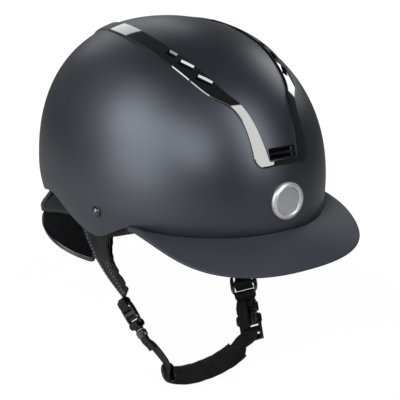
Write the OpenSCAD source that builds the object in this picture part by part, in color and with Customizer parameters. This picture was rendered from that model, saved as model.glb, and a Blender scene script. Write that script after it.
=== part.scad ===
// Riding helmet with a brimmed shell, gloss trim frame and buckled chin strap.
// The front faces -Y, the wearer's left side is +X, and the origin is the middle
// of the head opening at the level where the shell is widest.

/* [Shell] */
// Half of the shell's width at its widest level
shell_half_width = 107; // [104:0.5:110]
// Distance from the origin to the front of the shell
shell_front = 148.4; // [145:0.2:152]
// Distance from the origin to the rear of the shell
shell_rear = 128.6; // [126:0.2:132]
// Height of the crown above the widest level
crown_height = 121.5; // [118:0.5:125]
// Thickness of the moulded shell
shell_wall = 3; // [2.4:0.1:3.6]
// Power of the side profile, where 2 is an ellipse
profile_power = 2.27; // [2.2:0.01:2.35]
// Power of the front half of the plan, where 2 is an ellipse
front_power = 1.95; // [1.9:0.01:2.02]
// Power of the rear half of the plan
rear_power = 2.12; // [2.05:0.01:2.2]
// How far the crown lies behind the origin
crown_shift = 4.4; // [2:0.2:6]
// Share by which the shell draws in 100 mm below its widest level
side_tuck = 0.6; // [0.4:0.05:0.7]

/* [Shell edge] */
// Depth of the shell's edge at the temples
edge_depth = 13; // [11:0.5:15]
// Extra depth of the edge behind the visor
front_edge_extra = 3; // [2:0.5:4]
// Extra depth of the ear lobe
lobe_depth = 20; // [16:0.5:22]
// Angle from the front to the middle of the ear lobe
lobe_angle = 70; // [68:0.5:72]
// Extra depth of the edge at the nape
nape_edge_extra = 17; // [14:0.5:18]

/* [Visor] */
// How far the lip reaches past the front of the shell
visor_reach = 27.2; // [24:0.2:34]
// How far the lip hangs below the widest level at the front
visor_drop = 30; // [27:0.5:33]
// Angle from the front to each rear tip of the visor
visor_angle = 50; // [49:0.5:51]
// Depth of the seam between shell and visor at the front
seam_depth = 9; // [8:0.5:10]
// Extra depth of the seam at the rear tips
seam_fall = 4.6; // [4:0.2:5]
// Thickness of the visor's lip
lip_wall = 2.6; // [2:0.1:3.2]
// Power of the visor's plan outline
visor_power = 2.67; // [2.4:0.05:2.8]
// Diameter of the visor screws' thread
visor_screw_d = 2.6; // [2.2:0.1:3]
// Length of the visor screws under the head
visor_screw_len = 7; // [6:0.1:7.6]

/* [Trim frame] */
// Height of the trim over the shell
trim_height = 1.5; // [1.2:0.1:2]
// Gap between the trim or visor and the shell
trim_gap = 0.25; // [0.2:0.05:0.3]
// Width of the vent slots in the trim
slot_w = 3.6; // [3:0.1:3.9]
// Length of the two long vent slots on each side
slot_len = 13.2; // [12:0.2:14]
// Width of the front vent
front_vent_w = 24; // [21:0.5:25]
// Height of the front vent
front_vent_h = 8.6; // [7.6:0.2:9]
// Thickness of the louver plate in the front vent
louver_t = 2.4; // [2:0.1:3]

/* [Badge] */
// Outer diameter of the badge ring
badge_d = 27.5; // [25:0.5:29]
// Inner diameter of the badge ring
badge_bore = 20; // [18:0.5:21]
// Thickness of the badge ring
badge_t = 3.4; // [3:0.1:4]
// Diameter of the stud that holds the badge
badge_stud_d = 4; // [3:0.1:5]
// Height of the badge's middle over the widest level
badge_height = 13.4; // [12:0.2:15]

/* [Liner and padding] */
// Space between the shell and the impact liner
liner_gap = 0.7; // [0.6:0.1:1]
// Distance from the shell's outside to the liner's inside at the ears
liner_side = 24; // [22:0.5:26]
// The same distance at the front
liner_front = 36; // [33:0.5:38]
// The same distance at the rear
liner_rear = 32; // [30:0.5:35]
// The same distance at the crown
liner_crown = 30; // [27:0.5:32]
// Height of the liner's edge above the shell's edge
liner_lift = 5; // [4:0.5:6]
// Thickness of the comfort pads
pad_t = 6; // [4:0.5:8]
// Gap between neighbouring soft pieces
soft_gap = 0.3; // [0.2:0.05:0.4]
// Gap between the comfort pads and the liner
pad_gap = 0.9; // [0.8:0.1:1.2]

/* [Nape] */
// Depth of the top of the nape panel, inside the shell
nape_top = 8.8; // [8.6:0.1:10]
// Depth of the seam between the nape panel and the nape pad
nape_seam = 46; // [44:0.5:48]
// Rise of that seam towards its front ends
nape_seam_rise = 9; // [6:0.5:10]
// Depth of the lower edge of the nape pad at the rear
nape_bottom = 58; // [57:0.5:62]
// Extra depth of the nape pad at its front ends
nape_end_fall = 17; // [13:0.5:18]
// Angle from the front to the front ends of the nape panel
nape_angle = 104; // [103:0.5:106]
// Angle from the front to the front ends of the nape pad
nape_pad_angle = 96; // [95:0.5:98]
// Thickness of the nape panel
nape_panel_t = 2.4; // [2:0.1:3]
// Thickness of the nape pad at its middle
nape_pad_t = 8; // [6:0.5:9]
// Diameter of the piping on the nape pad's lower edge
piping_d = 3.2; // [2.6:0.1:3.6]

/* [Harness] */
// Diameter of the strap rivets' heads
rivet_head_d = 8.5; // [7.5:0.1:10]
// Diameter of the strap rivets' shanks
rivet_shank_d = 4; // [3.4:0.1:4.6]
// Width of the harness webbing
web_w = 18; // [16:0.5:19]
// Thickness of the harness webbing
web_t = 1.4; // [1.2:0.1:1.6]
// Thickness of the ear guards at their middle
guard_t = 4; // [3.2:0.1:4.6]
// Height of the oval adjusters
adjuster_h = 24; // [23:0.5:25]
// Width of the oval adjusters
adjuster_w = web_w + 7;
// Thickness of the oval adjusters
adjuster_t = 2.8; // [2.4:0.1:3.2]
// Width of the chin pad
chin_pad_w = web_w + 3.8;
// Thickness of the chin pad
chin_pad_t = 7.4; // [7:0.2:9]
// Length of the buckle's body
buckle_len = 9.6; // [9.4:0.1:10.4]
// Width of the buckle's body
buckle_w = 22.6; // [22:0.2:25]
// Thickness of the buckle's body
buckle_t = 8; // [7.4:0.1:9]

/* [Hidden] */

// Sizes of nested domes as half width, front, rear and height
outer_size = [shell_half_width, shell_front, shell_rear, crown_height];
inner_size = [for (v = outer_size) v - shell_wall];
liner_size = [for (v = inner_size) v - liner_gap];
cavity_size = [shell_half_width - liner_side, shell_front - liner_front,
    shell_rear - liner_rear, crown_height - liner_crown];

// Three-part smooth step from 0 to 1
function ease(t) = let(u = min(1, max(0, t))) u * u * (3 - 2 * u);
function unit(v) = v / norm(v);
function mix(a, b, t) = a + (b - a) * t;
function flip(p) = [-p[0], p[1], p[2]];

// Distance from the axis to the plan outline at an angle from the front
function plan_radius(a, size) =
    let(front = cos(a) >= 0, reach = front ? size[1] : size[2], p = front ? front_power : rear_power)
    1 / pow(pow(abs(sin(a)) / size[0], p) + pow(abs(cos(a)) / reach, p), 1 / p);

// Share of the plan that is left at a height
function girth(z, size) = z >= 0
    ? pow(max(0, 1 - pow(min(1, z / size[3]), profile_power)), 1 / profile_power)
    : 1 - side_tuck * pow(z / 100, 2);

// Point on a dome at an angle from the front and a height
function dome_at(a, z, size) =
    let(g = girth(z, size), r = plan_radius(a, size) * g)
    [r * sin(a), -r * cos(a) + crown_shift * (1 - g), z];

function grown(size, by) = [for (v = size) v + by];
function dome_normal(a, z, size) = unit(cross(
    dome_at(a + 0.5, z, size) - dome_at(a - 0.5, z, size),
    dome_at(a, z + 0.5, size) - dome_at(a, z - 0.5, size)));

// Whether a point is inside a dome
function inside(p, size) = p[2] < size[3] && (
    let(g = girth(p[2], size), y = p[1] - crown_shift * (1 - g), front = y < 0,
        reach = front ? size[1] : size[2], k = front ? front_power : rear_power)
    pow(abs(p[0]) / size[0] / g, k) + pow(abs(y) / reach / g, k) < 1);

// Point on a dome in the plane X = x, where a ray that rises by an angle meets it
function ridge_at(x, rise, size, near = 40, far = 180, steps = 26) =
    let(mid = (near + far) / 2, p = [x, -mid * cos(rise), mid * sin(rise)])
    steps == 0 ? p
    : inside(p, size) ? ridge_at(x, rise, size, mid, far, steps - 1)
    : ridge_at(x, rise, size, near, mid, steps - 1);

function ridge_normal(x, rise, size) = unit(cross(
    ridge_at(x + 0.5, rise, size) - ridge_at(x - 0.5, rise, size),
    ridge_at(x, rise + 0.4, size) - ridge_at(x, rise - 0.4, size)));

// Angle from the front on either side
function around(a) = abs(a > 180 ? 360 - a : a);

// Depth of the liner's rim at an angle from the front, before it is lifted above the shell's edge
function rim_depth_at(a) =
    let(b = around(a), half = b < lobe_angle ? 25 : 31,
        lobe = abs(b - lobe_angle) < half ? (1 + cos(180 * (b - lobe_angle) / half)) / 2 : 0)
    edge_depth + front_edge_extra * (1 - ease((b - 38) / 10)) + lobe_depth * lobe;

// Depth of the shell's lower edge, which also drops at the nape
function edge_depth_at(a) = rim_depth_at(a) + nape_edge_extra * ease((around(a) - 98) / 40);

// Closed solid through a stack of rings with equal counts of points
module skin(rings) {
    n = len(rings[0]);
    m = len(rings);
    polyhedron(points = [for (r = rings) each r], faces = concat(
        [for (j = [1:n - 2]) [0, j, j + 1]],
        [for (i = [0:m - 2], j = [0:n - 1]) let(k = (j + 1) % n)
            each [[i * n + j, (i + 1) * n + k, i * n + k], [i * n + j, (i + 1) * n + j, (i + 1) * n + k]]],
        [for (j = [1:n - 2]) [(m - 1) * n, (m - 1) * n + j + 1, (m - 1) * n + j]]), convexity = 8);
}

// Closed solid between two grids of points with equal rows and columns
module slab(top, under) {
    rows = len(top);
    cols = len(top[0]);
    rim = concat([for (j = [0:cols - 1]) [0, j]], [for (i = [1:rows - 1]) [i, cols - 1]],
        [for (j = [cols - 2:-1:0]) [rows - 1, j]], [for (i = [rows - 2:-1:1]) [i, 0]]);
    size = rows * cols;
    function at(ij) = ij[0] * cols + ij[1];
    polyhedron(points = concat([for (r = top) each r], [for (r = under) each r]), faces = concat(
        [for (i = [0:rows - 2], j = [0:cols - 2]) let(p = i * cols + j)
            each [[p, p + 1, p + cols + 1], [p, p + cols + 1, p + cols]]],
        [for (i = [0:rows - 2], j = [0:cols - 2]) let(p = size + i * cols + j)
            each [[p, p + cols + 1, p + 1], [p, p + cols, p + cols + 1]]],
        [for (k = [0:len(rim) - 1]) let(a = at(rim[k]), b = at(rim[(k + 1) % len(rim)]))
            each [[a, size + a, size + b], [a, size + b, b]]]), convexity = 8);
}

// Angles that turn Z to a direction and X to another one square to it
function turned(z_way, x_way) =
    let(z = unit(z_way), x = unit(x_way - (x_way * z) * z), y = cross(z, x))
    [atan2(y[2], z[2]), -asin(x[2]), atan2(x[1], x[0])];
module place(p, z_way, x_way) {
    translate(p) rotate(turned(z_way, x_way)) children();
}

// Direction of a route of points at one of them
function along(route, i) = unit(route[min(len(route) - 1, i + 1)] - route[max(0, i - 1)]);

// Flat webbing along a route, with its width turned towards a direction at each point
module webbing(route, ways, w = web_w, t = web_t) {
    skin([for (i = [0:len(route) - 1]) let(d = along(route, i), h = ways[min(i, len(ways) - 1)],
        x = unit(h - (h * d) * d), n = cross(d, x))
        [for (c = [[-1, -1], [1, -1], [1, 1], [-1, 1]]) route[i] + x * c[0] * w / 2 + n * c[1] * t / 2]]);
}

// Rows of heights from an edge below the widest level up to a level near the crown
function dome_rows(depth, size, low, high) = concat(
    [for (i = [0:low - 1]) -depth * (1 - i / low)],
    [for (i = [0:high]) size[3] * pow(sin(86 * i / high), 2 / profile_power)]);

// Open-bottomed dome between an outer and an inner size, with the depth of its edge from a function
module dome(outside, hollow, depth_at, steps, low, high) {
    rings = [for (j = [0:steps - 1]) let(a = 360 * j / steps, d = depth_at(a))
        concat([for (z = dome_rows(d, outside, low, high)) dome_at(a, z, outside)],
            [for (z = dome_rows(d, hollow, low, high)) dome_at(a, z, hollow)])];
    half = low + high + 1;
    n = 2 * half;
    function id(j, i) = (j % steps) * n + i;
    polyhedron(points = [for (r = rings) each r], faces = concat(
        [for (j = [0:steps - 1], i = [0:half - 2])
            each [[id(j, i), id(j, i + 1), id(j + 1, i + 1)], [id(j, i), id(j + 1, i + 1), id(j + 1, i)]]],
        [for (j = [0:steps - 1], i = [half:n - 2])
            each [[id(j, i), id(j + 1, i + 1), id(j, i + 1)], [id(j, i), id(j + 1, i), id(j + 1, i + 1)]]],
        [for (j = [0:steps - 1])
            each [[id(j, 0), id(j + 1, 0), id(j + 1, half)], [id(j, 0), id(j + 1, half), id(j, half)]]],
        [[for (j = [steps - 1:-1:0]) id(j, half - 1)]],
        [[for (j = [0:steps - 1]) id(j, n - 1)]]), convexity = 10);
}

// Vent slots on one side as rise angle, distance from the middle, length and turn
slots = [[45.4, 36.7, slot_len, 17], [54, 40.4, slot_len, 12], [61.8, 42.4, slot_len - 3.4, 5]];
slot_depth = 9;

// One vent slot cut through what lies within a depth under the shell's outside
module slot_cut(s, side, depth) {
    p = ridge_at(s[1], s[0], outer_size);
    n = ridge_normal(s[1], s[0], outer_size);
    run = [sin(s[3]), cos(s[3]), 0];
    away = n * sign(n[2]);
    q = side > 0 ? p : flip(p);
    place(q, side > 0 ? away : flip(away), side > 0 ? run : flip(run))
        translate([0, 0, -depth]) linear_extrude(depth + trim_height + 3) {
            square([s[2] - slot_w, slot_w], center = true);
            for (e = [-1, 1]) translate([e * (s[2] - slot_w) / 2, 0]) circle(d = slot_w, $fn = 24);
        }
}
module all_slots(depth) {
    for (s = slots, side = [-1, 1]) slot_cut(s, side, depth);
}

// The front vent is a window through the shell between the ends of the trim
vent_rise = 18.8;
vent_mid = ridge_at(0, vent_rise, outer_size);
vent_out = ridge_normal(0, vent_rise, outer_size) * sign(-ridge_normal(0, vent_rise, outer_size)[1]);
module vent_window(clear, from, to) {
    place(vent_mid, vent_out, [1, 0, 0]) translate([0, 0, from]) linear_extrude(to - from)
        square([front_vent_w + 2 * clear, front_vent_h + 2 * clear], center = true);
}

// Middle and outward direction of the badge on the shell
badge_seat = dome_at(0, badge_height, outer_size);
badge_rise = dome_at(0, badge_height + 1, outer_size)[1] - dome_at(0, badge_height - 1, outer_size)[1];
badge_out = [0, -1, badge_rise / 2];

// Strap rivets lie above the ear lobes
rivet_angle = 64.8;
rivet_depth = 8.9;
rivet_seat = dome_at(rivet_angle, -rivet_depth, outer_size);
rivet_way = dome_normal(rivet_angle, -rivet_depth, outer_size) *
    sign(dome_normal(rivet_angle, -rivet_depth, outer_size) * rivet_seat);
rivet_len = shell_wall + web_t + 3.4;
module at_rivets() {
    place(rivet_seat, rivet_way, [0, 0, 1]) children();
    place(flip(rivet_seat), flip(rivet_way), [0, 0, 1]) children();
}

// Visor screws enter from inside, under the liner's edge
screw_angles = [-18, 0, 18];
screw_depth = 13.6;
module at_visor_screws() {
    for (a = screw_angles) {
        p = dome_at(a, -screw_depth, inner_size);
        n = dome_normal(a, -screw_depth, inner_size);
        place(p, n * sign(-n[1]), [0, 0, 1]) children();
    }
}

module outer_shell() {
    color([0.17, 0.17, 0.19]) difference() {
        dome(outer_size, inner_size, function(a) edge_depth_at(a), 60, 3, 10);
        all_slots(slot_depth);
        vent_window(0, -8, 6);
        at_rivets() translate([0, 0, -8]) cylinder(d = rivet_shank_d + 0.2, h = 14, $fn = 32);
        at_visor_screws() translate([0, 0, -2]) cylinder(d = visor_screw_d + 0.4, h = 8, $fn = 24);
        place(badge_seat, badge_out, [1, 0, 0]) translate([0, 0, -8])
            cylinder(d = badge_stud_d + 0.2, h = 14, $fn = 32);
    }
}

// The visor's root follows the shell and its lip follows a rounded plan
visor_root_size = grown(outer_size, trim_gap);
visor_tip = dome_at(visor_angle, -seam_depth - seam_fall, visor_root_size);
visor_back = visor_tip[1];
visor_half = visor_tip[0] + 0.2;
function visor_root(t) =
    dome_at(visor_angle * t, -seam_depth - seam_fall * sin(90 * abs(t)), visor_root_size);
function visor_low_root(t) =
    dome_at(visor_angle * t, -seam_depth - 9.4 + 0.8 * abs(t), visor_root_size);
function visor_lip(t) =
    let(u = pow(sin(90 * abs(t)), 2 / visor_power), v = pow(cos(90 * abs(t)), 2 / visor_power),
        low = visor_drop - lip_wall * 0.8, high = seam_depth + seam_fall + 1)
    [sign(t) * visor_half * u, visor_back - (shell_front + visor_reach + visor_back) * v,
        -low + (low - high) * (0.4 * u * u + 0.6 * pow(u, 12))];
function visor_section(t) =
    let(root = visor_root(t), lip = visor_lip(t), low = visor_low_root(t),
        out = unit([lip[0] - root[0], lip[1] - root[1], 0]),
        reach = norm([lip[0] - root[0], lip[1] - root[1]]), bulge = 1.6 * min(1, reach / 14),
        wall = min(lip_wall, reach * 0.5 + 0.8))
    [root, mix(root, lip, 0.35) + [0, 0, bulge * 0.9], mix(root, lip, 0.7) + [0, 0, bulge * 0.8],
        lip, lip + out * min(0.5, reach * 0.2) - [0, 0, wall * 0.4], lip - [0, 0, wall],
        mix(low, lip - [0, 0, wall], 0.55) + [0, 0, bulge * 0.5], low];
module visor() {
    color([0.2, 0.21, 0.25]) difference() {
        skin([for (i = [-20:20]) visor_section(i / 20)]);
        at_visor_screws() translate([0, 0, -2])
            cylinder(d = visor_screw_d + 0.1, h = visor_screw_len + 2, $fn = 24);
    }
}

module visor_screws() {
    color([0.5, 0.5, 0.52]) at_visor_screws() {
        translate([0, 0, -1.8]) cylinder(d = visor_screw_d * 1.7, h = 1.5, $fn = 32);
        translate([0, 0, -0.4]) cylinder(d = visor_screw_d, h = visor_screw_len, $fn = 24);
    }
}

// The trim's edges as rise angle, inner distance and outer distance from the middle
trim_edges = [[20.7, 14.4, 23.8], [28.4, 17.7, 24.8], [34, 21.2, 28.6], [40, 28.2, 39.2],
    [46.4, 32.3, 44.2], [59.4, 38, 49.2], [75, 40, 51.1], [86.5, 39.1, 51.1], [100, 36.2, 48.9],
    [115.6, 29.8, 41.8], [132, 22, 33]];
trim_steps = 3;
function trim_knot(k, c) = trim_edges[min(len(trim_edges) - 1, max(0, k))][c];

// Smooth curve through the knots of one edge
function trim_curve(k, f, c) =
    let(a = trim_knot(k - 1, c), b = trim_knot(k, c), d = trim_knot(k + 1, c), e = trim_knot(k + 2, c),
        m0 = k == 0 ? d - b : (d - a) / 2, m1 = k == len(trim_edges) - 2 ? d - b : (e - b) / 2)
    (2 * f * f * f - 3 * f * f + 1) * b + (f * f * f - 2 * f * f + f) * m0
    + (3 * f * f - 2 * f * f * f) * d + (f * f * f - f * f) * m1;

// One cross-section of the trim between an inner and an outer point of the ridge grid
function trim_section(inner, outer, side) =
    [for (s = [[0, 0, trim_gap], [0, 0.02, trim_height * 0.6], [0, 0.14, trim_height],
        [0, 0.86, trim_height], [0, 0.98, trim_height * 0.6], [0, 1, trim_gap], [0, 0.5, trim_gap]])
        let(q = mix(inner, outer, s[1]))
        ridge_at(side * q[0], q[1], grown(outer_size, s[2]))];
bar_rise = [16.9, 15.5];
function trim_arm(side) = [for (k = [len(trim_edges) - 2:-1:0], j = [trim_steps:-1:k == 0 ? 0 : 1])
    let(f = j / trim_steps, rise = trim_curve(k, f, 0))
    trim_section([trim_curve(k, f, 1), rise], [trim_curve(k, f, 2), rise], side)];
function reversed(list) = [for (i = [len(list) - 1:-1:0]) list[i]];
trim_corner = [[[12.9, 17.3], [23.4, 17.4]], [[12.2, 16.9], [19.8, 15.6]]];
module trim_frame() {
    color([0.03, 0.03, 0.035]) difference() {
        skin(concat(
            trim_arm(-1),
            [for (c = trim_corner) trim_section(c[0], c[1], -1)],
            [for (x = [-8, -4]) trim_section([-x, bar_rise[0]], [-x, bar_rise[1]], -1)],
            [for (x = [0, 4, 8]) trim_section([x, bar_rise[0]], [x, bar_rise[1]], 1)],
            [for (c = reversed(trim_corner)) trim_section(c[0], c[1], 1)],
            reversed(trim_arm(1))));
        all_slots(slot_depth);
    }
}

module vent_louver() {
    color([0.05, 0.05, 0.055]) place(vent_mid, vent_out, [1, 0, 0]) {
        translate([0, 0, -shell_wall - louver_t / 2]) difference() {
            cube([front_vent_w - 0.6, front_vent_h - 0.6, louver_t], center = true);
            for (y = [-1, 1]) translate([0, y * front_vent_h / 4, 0])
                cube([front_vent_w - 5, front_vent_h / 2 - 2.2, louver_t + 1], center = true);
        }
    }
}

// The badge's back is hollowed to the curve of the shell's front
badge_curve = pow(shell_half_width, 2) / shell_front;
module badge_ring() {
    color([0.72, 0.73, 0.74]) place(badge_seat, badge_out, [1, 0, 0]) difference() {
        rotate_extrude($fn = 90) polygon([[badge_bore / 2, -1.4], [badge_d / 2 - 0.5, -1.4],
            [badge_d / 2, -0.9], [badge_d / 2, badge_t - 2], [badge_d / 2 - 1.8, badge_t - 1],
            [badge_bore / 2 + 1, badge_t - 1], [badge_bore / 2, badge_t - 1.8]]);
        translate([0, 0, trim_gap - badge_curve]) rotate([90, 0, 0])
            cylinder(r = badge_curve, h = badge_d + 4, center = true, $fn = 360);
    }
}
module badge_disc() {
    color([0.42, 0.43, 0.44]) place(badge_seat, badge_out, [1, 0, 0]) {
        translate([0, 0, trim_gap]) cylinder(d = badge_bore - 0.1, h = badge_t - 2.6, $fn = 96);
        translate([0, 0, -shell_wall - 2.4])
            cylinder(d = badge_stud_d, h = shell_wall + 2.4 + trim_gap + 0.2, $fn = 32);
    }
}

// The liner leaves room for the straps and rivets at the sides and for the louver
module impact_liner() {
    color([0.1, 0.1, 0.11]) difference() {
        dome(liner_size, cavity_size, function(a) rim_depth_at(a) - liner_lift, 48, 2, 8);
        all_slots(60);
        vent_window(2, -60, 4);
        at_rivets() translate([-34, -web_w / 2 - 2, -shell_wall - 9]) cube([52, web_w + 4, 10]);
        at_rear_anchors() translate([0, 0, -1])
            cylinder(d = anchor_pin_d + 0.1, h = anchor_pin + 1.4, $fn = 32);
        place(badge_seat, badge_out, [1, 0, 0]) translate([0, 0, -10])
            cylinder(d = badge_stud_d + 3, h = 10, $fn = 24);
    }
}

// Cushion on the cavity's wall between two angles and two heights
module wall_pad(from, to, low, high, across, up, t, lift = 0) {
    function swell(u, v) = 0.3 + 0.7 * (1 - pow(abs(2 * u - 1), 5)) * (1 - pow(abs(2 * v - 1), 4));
    grid_at = function(deep) [for (i = [0:up]) [for (j = [0:across])
        let(u = j / across, v = i / up)
        dome_at(mix(from, to, u), mix(low, high, v), grown(cavity_size,
            -pad_gap - deep * t * swell(u, v)))]];
    slab(reversed(grid_at(0)), reversed(grid_at(1)));
}
pad_low = -6;
module brow_pad() {
    color([0.12, 0.12, 0.13]) wall_pad(-56, 56, pad_low, 26, 22, 5, pad_t + 2);
}
module side_pad_left() {
    color([0.12, 0.12, 0.13]) wall_pad(59, 112, pad_low, 34, 12, 6, pad_t);
}
module side_pad_right() {
    color([0.12, 0.12, 0.13]) mirror([1, 0, 0]) wall_pad(59, 112, pad_low, 34, 12, 6, pad_t);
}

// Crown cushion with channels that run out from its middle
crown_steps = 36;
crown_channels = 6;
module crown_pad() {
    levels = [56, 62, 69, 77, 85];
    function channel(a, t) = 0.3 * (1 - abs(sin(crown_channels * a / 2))) * (1 - ease((t - 69) / 16));
    function swell(a, t) = (0.45 + 0.55 * sin(180 * (t - 54) / 36)) * (1 - channel(a, t));
    function at(a, t, deep) = let(s = grown(cavity_size, -pad_gap - deep))
        dome_at(a, s[3] * pow(sin(t), 2 / profile_power), s);
    under = [for (t = levels) [for (j = [0:crown_steps - 1]) let(a = 360 * j / crown_steps)
        at(a, t, (pad_t + 1) * swell(a, t))]];
    top = [for (t = levels) [for (j = [0:crown_steps - 1]) at(360 * j / crown_steps, t, 0)]];
    color([0.12, 0.12, 0.13]) skin(concat(reversed(under), top));
}

// The nape piece runs round the rear on a plan that closes in towards its ends
function nape_closing(a) = pow(1 - min(1, max(0, abs(a) - nape_pad_angle) / 38), 2.2);
function nape_fullness(a, z) = 0.912 + 0.074 * ease((-z - edge_depth_at(abs(a))) / 16)
    - 0.012 * pow(max(0, -z - nape_seam) / 20, 2);
function nape_at(a, z, deep) =
    let(k = nape_fullness(a, z) - 0.27 * nape_closing(a), r = plan_radius(a, outer_size) * k - deep)
    [r * sin(a), -r * cos(a), z];
function nape_seam_at(a) = -nape_seam + nape_seam_rise * ease((128 - abs(a)) / 22);
function nape_edge(a) = -nape_bottom - nape_end_fall * pow(nape_closing(a), 0.5);

// Signed angle at a share of a span that runs round the rear between two equal end angles
function round_rear(u, end) = let(a = 180 + (180 - end) * (2 * u - 1)) a - (a > 180 ? 360 : 0);
module nape_panel() {
    rows = 8;
    grid_at = function(deep) [for (i = [0:rows]) [for (j = [0:28])
        let(a = round_rear(j / 28, nape_angle)) nape_at(a, mix(nape_seam_at(a), -nape_top, i / rows), deep)]];
    color([0.11, 0.12, 0.14]) slab(reversed(grid_at(0)), reversed(grid_at(nape_panel_t)));
}
function nape_swell(u, v) = 0.35 + 0.65 * (1 - pow(abs(2 * u - 1), 8)) * sin(180 * v);
module nape_pad() {
    grid_at = function(deep) [for (i = [0:6]) [for (j = [0:32])
        let(u = j / 32, v = i / 6, a = round_rear(u, nape_pad_angle), s = nape_swell(u, v) * nape_pad_t)
        nape_at(a, mix(nape_edge(a), nape_seam_at(a) - soft_gap, v), deep * s - (1 - deep) * s * 0.12)]];
    color([0.1, 0.1, 0.11]) slab(reversed(grid_at(0)), reversed(grid_at(1)));
}
module nape_piping() {
    route = [for (j = [0:40]) let(a = round_rear(j / 40, nape_pad_angle))
        nape_at(a, nape_edge(a) - piping_d / 2 - soft_gap, nape_pad_t * 0.12)];
    color([0.16, 0.16, 0.18]) skin([for (i = [0:len(route) - 1])
        let(d = along(route, i), x = unit([0, 0, 1] - d[2] * d), y = cross(d, x))
        [for (k = [0:7]) route[i] + (x * cos(45 * k) + y * sin(45 * k)) * piping_d / 2]]);
}

module strap_rivets() {
    color([0.25, 0.25, 0.26]) at_rivets() {
        difference() {
            translate([0, 0, trim_gap]) intersection() {
                translate([0, 0, 2.2 - rivet_head_d * 0.8]) sphere(r = rivet_head_d * 0.8, $fn = 32);
                cylinder(d = rivet_head_d, h = 4, $fn = 48);
            }
            translate([0, 0, -4]) cube([20, 20, 8.2 + 2 * trim_gap], center = true);
        }
        translate([0, 0, -rivet_len]) cylinder(d = rivet_shank_d, h = rivet_len + 0.8, $fn = 32);
    }
}
module rivet_washers() {
    color([0.6, 0.6, 0.62]) at_rivets() translate([0, 0, -rivet_len + 0.4]) difference() {
        cylinder(d = rivet_shank_d + 7, h = 1, $fn = 48);
        translate([0, 0, -1]) cylinder(d = rivet_shank_d + 0.1, h = 3, $fn = 32);
    }
}

// Frames of the straps near the jaw: Z down the strap, X across its width towards the rear, and
// Y out from the head, with the width turned about the strap by an angle
hang = [57.6, -35.3, -120.1];
down = unit([-0.228, -0.6, -0.767]);
flat_wide = unit([0.07, 0.775, -0.627] - ([0.07, 0.775, -0.627] * down) * down);
flat_out = cross(down, flat_wide);
function wide(turn) = cos(turn) * flat_wide - sin(turn) * flat_out;
function out(turn) = cos(turn) * flat_out + sin(turn) * flat_wide;
function strap_at(s, y, turn) = hang + down * s + out(turn) * y;
module on_strap(s, turn) {
    place(strap_at(s, 0, turn), down, wide(turn)) children();
}
// The left side hangs a little closer in than the mirrored right side
left_shift = [-3.6, 0, 0];
function left_at(s, y, turn) = strap_at(s, y, turn) + left_shift;
module on_left(s, turn) {
    translate(left_shift) on_strap(s, turn) children();
}
turn_left = 40;
turn_buckle = 24;
turn_right = 10;
turn_keeper = 17;

// Ear guards are padded triangles that hang from the liner's rim to the adjusters
guard_bottom = -96.8;
guard_rise = [0, 0.22, 0.42, 0.62, 0.8, 0.92, 1];
guard_rear = [22, 16, 9, 2, -7, -14, -18];
guard_front = [-40, -33, -27, -26, -29, -31, -32];
guard_skew = 5.5;
guard_head = cavity_size[0] + 1;
guard_foot = hang[0] + 4.9;
guard_draw = guard_head - guard_foot;
function guard_x(z, draw) = guard_head - draw * pow(max(0, -17 - z) / (-17 - guard_bottom), 2);
function guard_top(y) = -rim_depth_at(atan2(guard_head, -y)) + liner_lift - 0.8;
module ear_guard(twist, draw) {
    function swell(u, v) = 0.5 + 0.5 * (1 - pow(abs(2 * u - 1), 4)) * (1 - pow(abs(2 * v - 1), 8));
    grid_at = function(side) [for (i = [0:len(guard_rise) - 1]) [for (j = [0:8])
        let(u = j / 8, v = guard_rise[i], y = mix(guard_rear[i], guard_front[i], u),
            z = mix(guard_top(y), guard_bottom, v) + (2 * u - 1) * guard_skew * v * v)
        [guard_x(z, draw) + side * guard_t / 2 * swell(u, v) + (2 * u - 1) * twist * v * v, y, z]]];
    slab(grid_at(-1), grid_at(1));
}
module ear_guard_left() {
    color([0.1, 0.1, 0.11]) ear_guard(2.4, guard_draw - left_shift[0]);
}
module ear_guard_right() {
    color([0.1, 0.1, 0.11]) mirror([1, 0, 0]) ear_guard(0.4, guard_draw);
}

// The front strap follows the shell's inside under its rivet and goes down to the ear guard
strap_size = grown(inner_size, -0.6 - web_t / 2);
front_strap_w = web_w - 6;
outside_guard = [for (p = [[7.5, -36.5, -37], [5.6, -33, -48], [4.3, -30, -58]])
    [guard_x(p[2], guard_draw) + p[0], p[1], p[2]]];
module front_strap() {
    difference() {
        under_shell = [for (z = [4, -4, -12, -20, -27]) dome_at(rivet_angle, z, strap_size)];
        across = dome_at(rivet_angle + 1, 0, strap_size) - dome_at(rivet_angle - 1, 0, strap_size);
        webbing(concat(under_shell, outside_guard),
            concat([for (p = under_shell) across], [[0.1, 1, 0]]), front_strap_w);
        place(rivet_seat, rivet_way, [0, 0, 1]) translate([0, 0, -12])
            cylinder(d = rivet_shank_d + 0.2, h = 14, $fn = 32);
    }
}
module front_strap_left() {
    color([0.09, 0.09, 0.1]) front_strap();
}
module front_strap_right() {
    color([0.09, 0.09, 0.1]) mirror([1, 0, 0]) front_strap();
}

// Rear anchors are plates under the liner's rim, each with a pin up into the liner
anchor_angle = 139.9;
anchor_share = 0.3;
anchor_plan = mix(dome_at(anchor_angle, 0, cavity_size), dome_at(anchor_angle, 0, liner_size), anchor_share);
anchor_t = 2;
anchor_pin_d = 5;
anchor_pin = 8;
anchor_z = liner_lift - edge_depth - soft_gap;
module at_rear_anchors() {
    for (side = [-1, 1]) translate([side * anchor_plan[0], anchor_plan[1], anchor_z])
        rotate([0, 0, side * -40]) children();
}
module rear_anchors() {
    color([0.55, 0.55, 0.57]) at_rear_anchors() {
        translate([0, 0, -anchor_t / 2]) cube([web_w - 1, 9, anchor_t], center = true);
        translate([0, 0, -0.4]) cylinder(d = anchor_pin_d, h = anchor_pin, $fn = 32);
    }
}

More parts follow.
